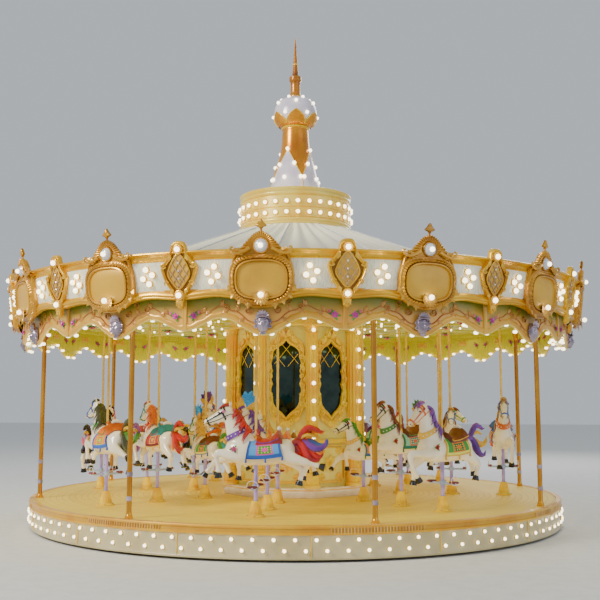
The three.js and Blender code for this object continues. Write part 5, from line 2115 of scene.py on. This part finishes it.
def fittings(pose: Pose) -> Shape:
    """What a horse carries on its skin: hooves, ears, eyes, mane, tail, bridle, saddle and blanket."""
    head, neck, trunk = pose.head, pose.neck, pose.trunk
    parts = [part.shape(5, 10, Part.HOOF) for part in pose.hooves]
    ear = lathe(mm((0, -12), (10, -6), (13.5, 12), (11.5, 30), (6, 50), (0, 68)), 8, Part.COAT)
    eye, nostril = globe(0.0135, Part.HOOF, 10), globe(0.0085, Part.HOOF, 8)
    rose, small = rosette(0.038, 5, Part.FLOWER), rosette(0.02, 5, Part.FLOWER, 1)
    leaves = spray(leaf(0.055, 0.017, 1, 0.2, Part.LEAF), (40, 150, 260))
    bit = tube(oval_line(0.017, 0.017, 13), 0.0035, 5, Part.GILT)
    brow, nose = head.keys[2], head.keys[5]
    lean = math.degrees(math.atan2(brow[2] - nose[2], nose[0] - brow[0]))
    lash = 53 - 9 * np.sin(np.linspace(0, np.pi, 6))
    for side in (1, -1):
        tilted = ear.scaled(0.95, 0.6, 1).turned(-18 * side, "x").turned(lean * 0.5 - 20, "y")
        rein = np.array([head.skin(0.79, 104 * side, 0.012), head.skin(0.5, 116 * side, 0.014),
            neck.skin(0.82, 84 * side, 0.016), neck.skin(0.74, 44 * side, 0.014),
            neck.skin(0.7, 12 * side, 0.01)])
        parts += [tilted.moved(*head.skin(0.12, 30 * side, -0.006)),
            eye.scaled(1.25, 0.8, 0.85).moved(*head.skin(0.39, 60 * side, -0.005)),
            tube(head.skin(np.linspace(0.335, 0.44, 6), lash * side, 0.001),
            np.array([0.002, 0.005, 0.006, 0.006, 0.005, 0.002]), 5, Part.COAT),
            nostril.scaled(1.2, 0.6, 0.9).moved(*head.skin(0.93, 62 * side, -0.002)),
            tube(head.skin(np.linspace(0.8, 0.99, 6), 108 * side, 0.001), 0.0028, 4, Part.HOOF), placed(bit,
            head.skin(0.79, 104 * side, 0.008), side), head.patch((0.27, 0.745), (68 * side, 82 * side),
            0.006, Part.STRAP, (9, 2)), head.patch((0.30, 0.34), (30 * side, 150 * side), 0.006, Part.STRAP,
            (2, 6)), placed(small, head.skin(0.28, 74 * side, 0.008), side), tube(spline(rein, 11), 0.0045,
            4, Part.STRAP), placed(join([*leaves, rose]), trunk.skin(trunk.place_of(0.235), 84 * side,
            0.016), side)]
        dots = neck.skin(0.3425, np.linspace(24, 156, 7) * side, 0.019)
        parts += [globe(0.0085, Part.WIRE, 5).moved(*dot) for dot in dots]
        for n in range(12):
            root, end, size = 0.99 - 0.06 * n, (66 + 10 * (n % 3)) * side, 0.031 if n < 4 else 0.024
            parts.append(neck.lock((root, root - 0.22), (2 * side, end), 0.028, size, 6 * side, 1.3 * n,
                Part.MANE))
        for n in range(3):
            parts.append(head.lock((0.1, 0.36 + 0.03 * n), ((3 + 9 * n) * side, (5 + 15 * n) * side), 0.014,
                0.018, 5 * side, 2.0 * n, Part.MANE))
    parts += [tube(neck.skin(np.linspace(0.2, 1.0, 9), 0, 0.008), 0.022, 7, Part.MANE),
        head.patch((0.7, 0.755), (0, 360), 0.007, Part.STRAP, (2, 16)), head.patch((0.235, 0.275),
        (-76, 76), 0.007, Part.STRAP, (2, 10)), neck.patch((0.3, 0.385), (0, 360), 0.014, Part.TRIM,
        (3, 24))]
    return join(parts + saddlery(trunk) + tail_of())


def saddlery(trunk: Limb) -> list[Shape]:
    """The blanket with its bound edge and tassels, and the saddle with its high pommel and long cantle.

    Along the seat, s from the cantle to the pommel, it rises by 0.13 ((0.4 - s) / 0.4)^1.6 behind and by
    0.085 ((s - 0.76) / 0.24)^1.3 in front, times cos(0.85 c)^2 across it.
    """
    front, back = trunk.place_of(0.055), trunk.place_of(-0.3)
    parts = [trunk.patch((back, front), (-112, 112), 0.012, Part.BLANKET, (8, 20), 0.16)]
    tassel = lathe(mm((0, -52), (14, -44), (9, -12), (11, -4), (0, 6)), 6, Part.FRINGE)
    middle, half = (front + back) / 2, (front - back) / 2
    around = np.linspace(-112, 112, 21)
    for end in (-1, 1):
        edge = trunk.skin(middle + end * half * (1 + 0.16 * np.abs(around) / 112), around, 0.013)
        parts.append(tube(edge, 0.006, 5, Part.FRINGE))
    for side in (1, -1):
        edge = trunk.skin(middle + 1.16 * half * np.linspace(-1, 1, 11), 112 * side, 0.013)
        parts.append(tube(edge, 0.007, 5, Part.FRINGE))
        parts += [tassel.moved(*edge[n]) for n in (0, 5, 10)]
    s = np.linspace(0, 1, 16)[:, None]
    c = np.linspace(-1, 1, 15)[None, :]
    rise = 0.13 * np.clip((0.4 - s) / 0.4, 0, 1) ** 1.6 + 0.085 * np.clip((s - 0.76) / 0.24, 0, 1) ** 1.3
    height = 0.026 + rise * np.cos(0.85 * c) ** 2
    height[[0, -1]] = height[:, [0, -1]] = 0.008
    place = trunk.place_of(-0.3 + 0.285 * s + 0 * c)
    seat = trunk.skin(place, 54 * c + 0 * s, height)
    seat[..., 0] -= 0.35 * rise * (s < 0.5)
    parts.append(grid(seat, Part.SADDLE))
    for row in (seat[1:-1, 1], seat[1:-1, -2]):
        parts.append(tube(row, 0.006, 5, Part.TRIM))
    top = seat[1, 7]
    span = np.linspace(-0.07, 0.07, 9)[:, None]
    roll = tube(top + span * np.array([[0, 1, 0]]) - span**2 * np.array([[1.5, 0, 4.0]]), np.array([0.012,
        0.018, 0.02, 0.022, 0.024, 0.022, 0.02, 0.018, 0.012]), 8, Part.WIRE)
    horn = tube(seat[-2, 7] + mm((0, 0, -20), (4, 0, 5), (12, 0, 30), (18, 0, 44)),
        np.array([0.03, 0.02, 0.017, 0.022]), 8, Part.SADDLE)
    return parts + [roll, horn]


TAIL_LOCKS = ((0, 38, Part.TAIL, ((-415, 440), (-490, 500), (-540, 580), (-600, 640), (-670, 630),
    (-720, 600), (-770, 610))), (16, 22, Part.PLUME_EDGE, ((-430, 450), (-500, 510), (-560, 550),
    (-620, 560), (-670, 540), (-710, 530))), (-16, 44, Part.TRIM, ((-415, 440), (-500, 480), (-580, 460),
    (-670, 410), (-750, 405), (-800, 450), (-810, 510))), (22, 50, Part.TAIL, ((-415, 440), (-480, 490),
    (-540, 440), (-580, 360), (-640, 290), (-720, 275), (-760, 330))), (-24, 36, Part.TAIL, ((-415, 430),
    (-460, 440), (-500, 370), (-530, 290), (-580, 230), (-650, 210))), (0, 24, Part.MANE, ((-420, 420),
    (-450, 400), (-470, 340), (-460, 280), (-430, 250))))


def tail_of() -> list[Shape]:
    """The tail: S-shaped locks that fan out like flames, thick in their middle and drawn to a tip.

    Over the share s of its length, a lock's radius is its size times (0.55 + 0.45 sin(pi s)) (1 - s^3)^0.7.
    """
    s = np.linspace(0, 1, 14)
    swell = 0.55 + 0.45 * np.sin(np.pi * s)
    locks = []
    for y, size, finish, line in TAIL_LOCKS:
        path = upright(spline(mm(*line), 14), y / 1000 * np.sin(np.pi * s * 0.75))
        locks.append(tube(path, size / 1000 * swell * (1 - s**3) ** 0.7 + 0.002, 6, finish))
    return locks


def plume(head: Limb) -> Shape:
    """A plume on the poll: five lobed feathers that curl apart, the outer ones in a second colour."""
    feathers = []
    for n, (size, lean) in enumerate(((0.19, -64), (0.23, -42), (0.25, -20), (0.23, 2), (0.17, 24))):
        feather = leaf(size, 0.066, 7, 0.12, Part.PLUME_EDGE if n in (0, 4) else Part.PLUME,
            lift=0.004).turned(lean, "y")
        feathers += [feather, feather.scaled(1, -1, 1)]
    return join(feathers).moved(*head.skin(0.12, 0, -0.015))


@dataclass
class Horses:
    """Three rows of eight horses on their poles.

    Attributes:
        rows: (name, radius, scale, phases, poses) of each row; a phase of 1 is one rest offset up.
        offset: The rest offset.
    pole, sleeve, twist: The greatest radii of pole and sleeve, and the depth of their grooves.
        hoof_height: The lowest hoof's ground over the deck, for a horse of full size.
    """

    rows: tuple[tuple[str, float, float, tuple[int, ...], tuple[int, ...]], ...] = (("outer", 3.0, 1.0,
        (0, 0, 1, -1, 0, 0, -1, 1), (0, 1, 1, 0, 0, 1, 1, 0)), ("middle", 2.27, 0.92,
        (0, 1, 0, -1, 0, -1, 0, 1), (1, 1, 0, 0, 1, 1, 0, 1)), ("inner", 1.54, 0.8,
        (0, -1, 0, 1, 0, 1, 0, -1), (1, 0, 1, 0, 1, 0, 1, 1)))
    offset: float = 0.06
    pole: float = 0.0179
    sleeve: float = 0.0248
    twist: float = 0.0024
    hoof_height: float = 0.37

    def twisted(self, radius: float, low: float, high: float, pitch: float, finish: int) -> Shape:
        """A barley-twist tube: its radius is radius - twist * (1 - cos(2 a + 2 pi z / pitch)) / 2."""
        z = np.linspace(low, high, int(6 * (high - low) / pitch) + 2)[:, None]
        a = np.linspace(0, TAU, 9)[None, :]
        wall = swept(a, radius - self.twist * (1 - np.cos(2 * a + TAU * z / pitch)) / 2, z)
        ends = [np.broadcast_to([0.0, 0.0, end], (1, 9, 3)) for end in (low, high)]
        return grid(np.concatenate([ends[0], wall, ends[1]]), finish)

    def hardware(self, hooves: float, scale: float) -> Shape:
        """The brass pole, the lavender sleeve, the foot rest with its pedals and its wire hoops."""
        belly = hooves + 0.28 * scale
        pole = self.twisted(self.pole, belly, CEILING_Z + 0.2395, 0.16, Part.BRASS)
        collar = lathe([(0.0, belly + 0.2), (0.032, belly + 0.2), (0.034, belly + 0.21 + 0.02 * scale),
            (0.024, belly + 0.24 + 0.02 * scale), (0.0, belly + 0.25 + 0.02 * scale)], 14, Part.GILT)
        low = DECK_TOP - 0.0295
        sleeve = join([self.twisted(self.sleeve, low, belly - 0.025, 0.12, Part.SLEEVE), lathe(mm((0, -40),
            (31, -40), (33, -20), (33, 10), (0, 20), at=(0, belly)), 16, Part.WIRE)])
        rest = hooves - 0.037
        across = np.linspace(-0.2145, 0.2145, 7)
        bar = tube(np.stack([0 * across, across, rest + 0 * across], -1), 0.0128, 8, Part.REST)
        clamp = lathe(mm((0, -22), (36, -22), (38, -17), (38, 24), (36, 30), (0, 30), at=(0, rest)), 16,
            Part.REST)
        hoop = tube(oval_line(0.062, 0.052, 15), 0.0038, 5, Part.WIRE)
        block = layered(closed_curve(mm((50, -12), (50, 12), (-50, 12), (-50, -12)), 2), mm((0, -26),
            (1000, -26), (1000, 26), (0, 26)), (0, 0), Part.PEDAL)
        parts = [pole, collar, sleeve, bar, clamp]
        for side in (1, -1):
            parts += [block.moved(y=0.188 * side, z=rest + 0.016),
                hoop.moved(y=0.205 * side, z=rest + 0.035)]
        return join(parts)

    def finishes(self, outfit: Outfit) -> "list[Finish]":
        """A horse's finishes in the order of Part."""
        return [HORSE_WHITE, PAINTS[outfit.mane], PAINTS[outfit.strap], CLOTHS[outfit.blanket],
            PAINTS[outfit.saddle], PAINTS[outfit.trim], PAINTS["black"], POLE_BRASS, LAVENDER, PALE_BLUE,
            MAROON, PAINTS[outfit.flower], PAINTS[outfit.fringe], WHITE_PETAL, GOLD_PALE,
            PAINTS[outfit.tail], PAINTS[outfit.plume or "white"], PAINTS["yellow"], LEAF_GREEN]

    def build(self) -> None:
        """Builds the 24 horses from two carved poses."""
        carved = [join([skin_of(pose), fittings(pose)]) for pose in (GALLOP, PRANCE)]
        for name, radius, scale, phases, poses in self.rows:
            hooves = DECK_TOP + self.hoof_height + 0.25 * (1 - scale)
            for k in range(STATIONS):
                outfit = Outfit(*OUTFITS[name][k].split())
                extra = [plume((GALLOP, PRANCE)[poses[k]].head)] if outfit.plume else []
                body = join([carved[poses[k]]] + extra).scaled(scale, scale, scale).moved(z=hooves)
                shape = join([body, self.hardware(hooves, scale)]).turned(180)
                piece = Piece(f"{name}_mount_{k + 1}", self.finishes(outfit), crease=50)
                piece.add(shape.at(STATION_STEP * k, radius, phases[k] * self.offset))
                piece.build(f"horse_{name}_{k + 1}", body=f"horse_{name}_{k + 1}")


def cloth(name: str, main: str, second: str, edge: str, motif: str, patch: str) -> Cloth:
    """A blanket's cloth: its field, the patch's dots, its edge, the patch's border and ground."""
    return Cloth(name, "horse", tint(main), tint(second), 0.65, coat=0.1, edge=tint(edge),
        motif=tint(motif), patch=tint(patch))


HORSE_WHITE = paint("horse_white", "fdf3dc", "efdfbc", roughness=0.22, coat=0.6, grain=3.0, relief=0.0004)
PAINTS = {name: paint(f"paint_{name}", *tones.split()) for name, tones in {"red": "c8201c 8f1214",
    "purple": "7a3aa8 4f2280", "violet": "9a5ac0 6f3a98", "brown": "8a3f22 5c2616",
    "green": "4f9a2c 2f6a22", "blue": "2f62c4 1f3f90", "sky": "30b0ff 1484e0", "teal": "2a9a9a 1c6a70",
    "orange": "ee7a1c c4520f", "yellow": "f0c02a d09a1a", "olive": "4a4a1c 2c2c10", "tan": "c89a5c 9a6c38",
    "pink": "e86aa0 c0407a", "lavender": "c8b8e0 a894c8", "white": "f6f2ea e2dacc"}.items()}
PAINTS["black"] = paint("paint_black", "1a1818", "0c0b0b", roughness=0.25)
CLOTHS = {name: cloth(f"cloth_{name}", *tones.split()) for name,
    tones in {"sky": "4c9cdc c8e04c 2460b4 e040a0 3c8c2c", "crimson": "c42430 f4d040 6f1420 f0a820 8c1c50",
    "meadow": "3f9a3c f0d83c e8e060 e87820 1f6a34", "amber": "f08c1c f8e070 2a64c4 a8d83c d04818",
    "royal": "2c4cb4 e8e4f4 c8242c f0c830 1c2c78", "rose": "e878a8 f8f0e4 8c2c6c 4fa84c c43c7c",
    "plum": "7c3c9c f0b830 3c1c64 e898c8 5c2484", "mint": "8cd4b4 f4ecd8 1c7c74 e8643c 2c9484"}.items()}
OUTFITS = {"outer": ("red red black sky red purple pink blue",
    "violet purple orange meadow brown yellow red yellow", "tan tan blue amber blue orange red orange",
    "brown brown green plum red yellow yellow yellow", "orange orange red royal brown teal orange yellow",
    "yellow tan purple crimson green lavender blue orange purple",
    "black black red mint brown pink orange teal", "olive olive blue amber orange green yellow blue"),
    "middle": ("purple red red crimson orange blue yellow orange sky",
    "brown brown olive mint brown green red green", "tan brown blue rose red white blue pink",
    "red orange black royal green yellow orange yellow green",
    "black black orange sky purple lavender pink white", "orange yellow teal plum blue teal yellow orange",
    "violet violet green amber red green pink green", "orange red teal crimson teal red white yellow"),
    "inner": ("yellow orange blue rose brown blue red blue",
    "green yellow black amber green yellow red green", "red red olive royal orange white yellow white",
    "brown tan purple mint purple pink violet teal", "violet violet teal meadow blue violet white yellow",
    "tan tan red sky red orange blue red", "black black yellow plum yellow purple orange orange",
    "yellow green green meadow brown teal blue blue sky")}


def main() -> None:
    """Builds the studio and the carousel, piece by piece."""
    logging.basicConfig(level=logging.INFO, format="%(message)s")
    Studio().build()
    for assembly in (Deck(), OuterPoles(), CentreDrum(), Ceiling(), Valance(), RoundingBoards(), Roof(),
            Crown(), Horses()):
        log.info("building %s", type(assembly).__name__)
        assembly.build()
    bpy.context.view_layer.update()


if __name__ == "__main__":
    main()
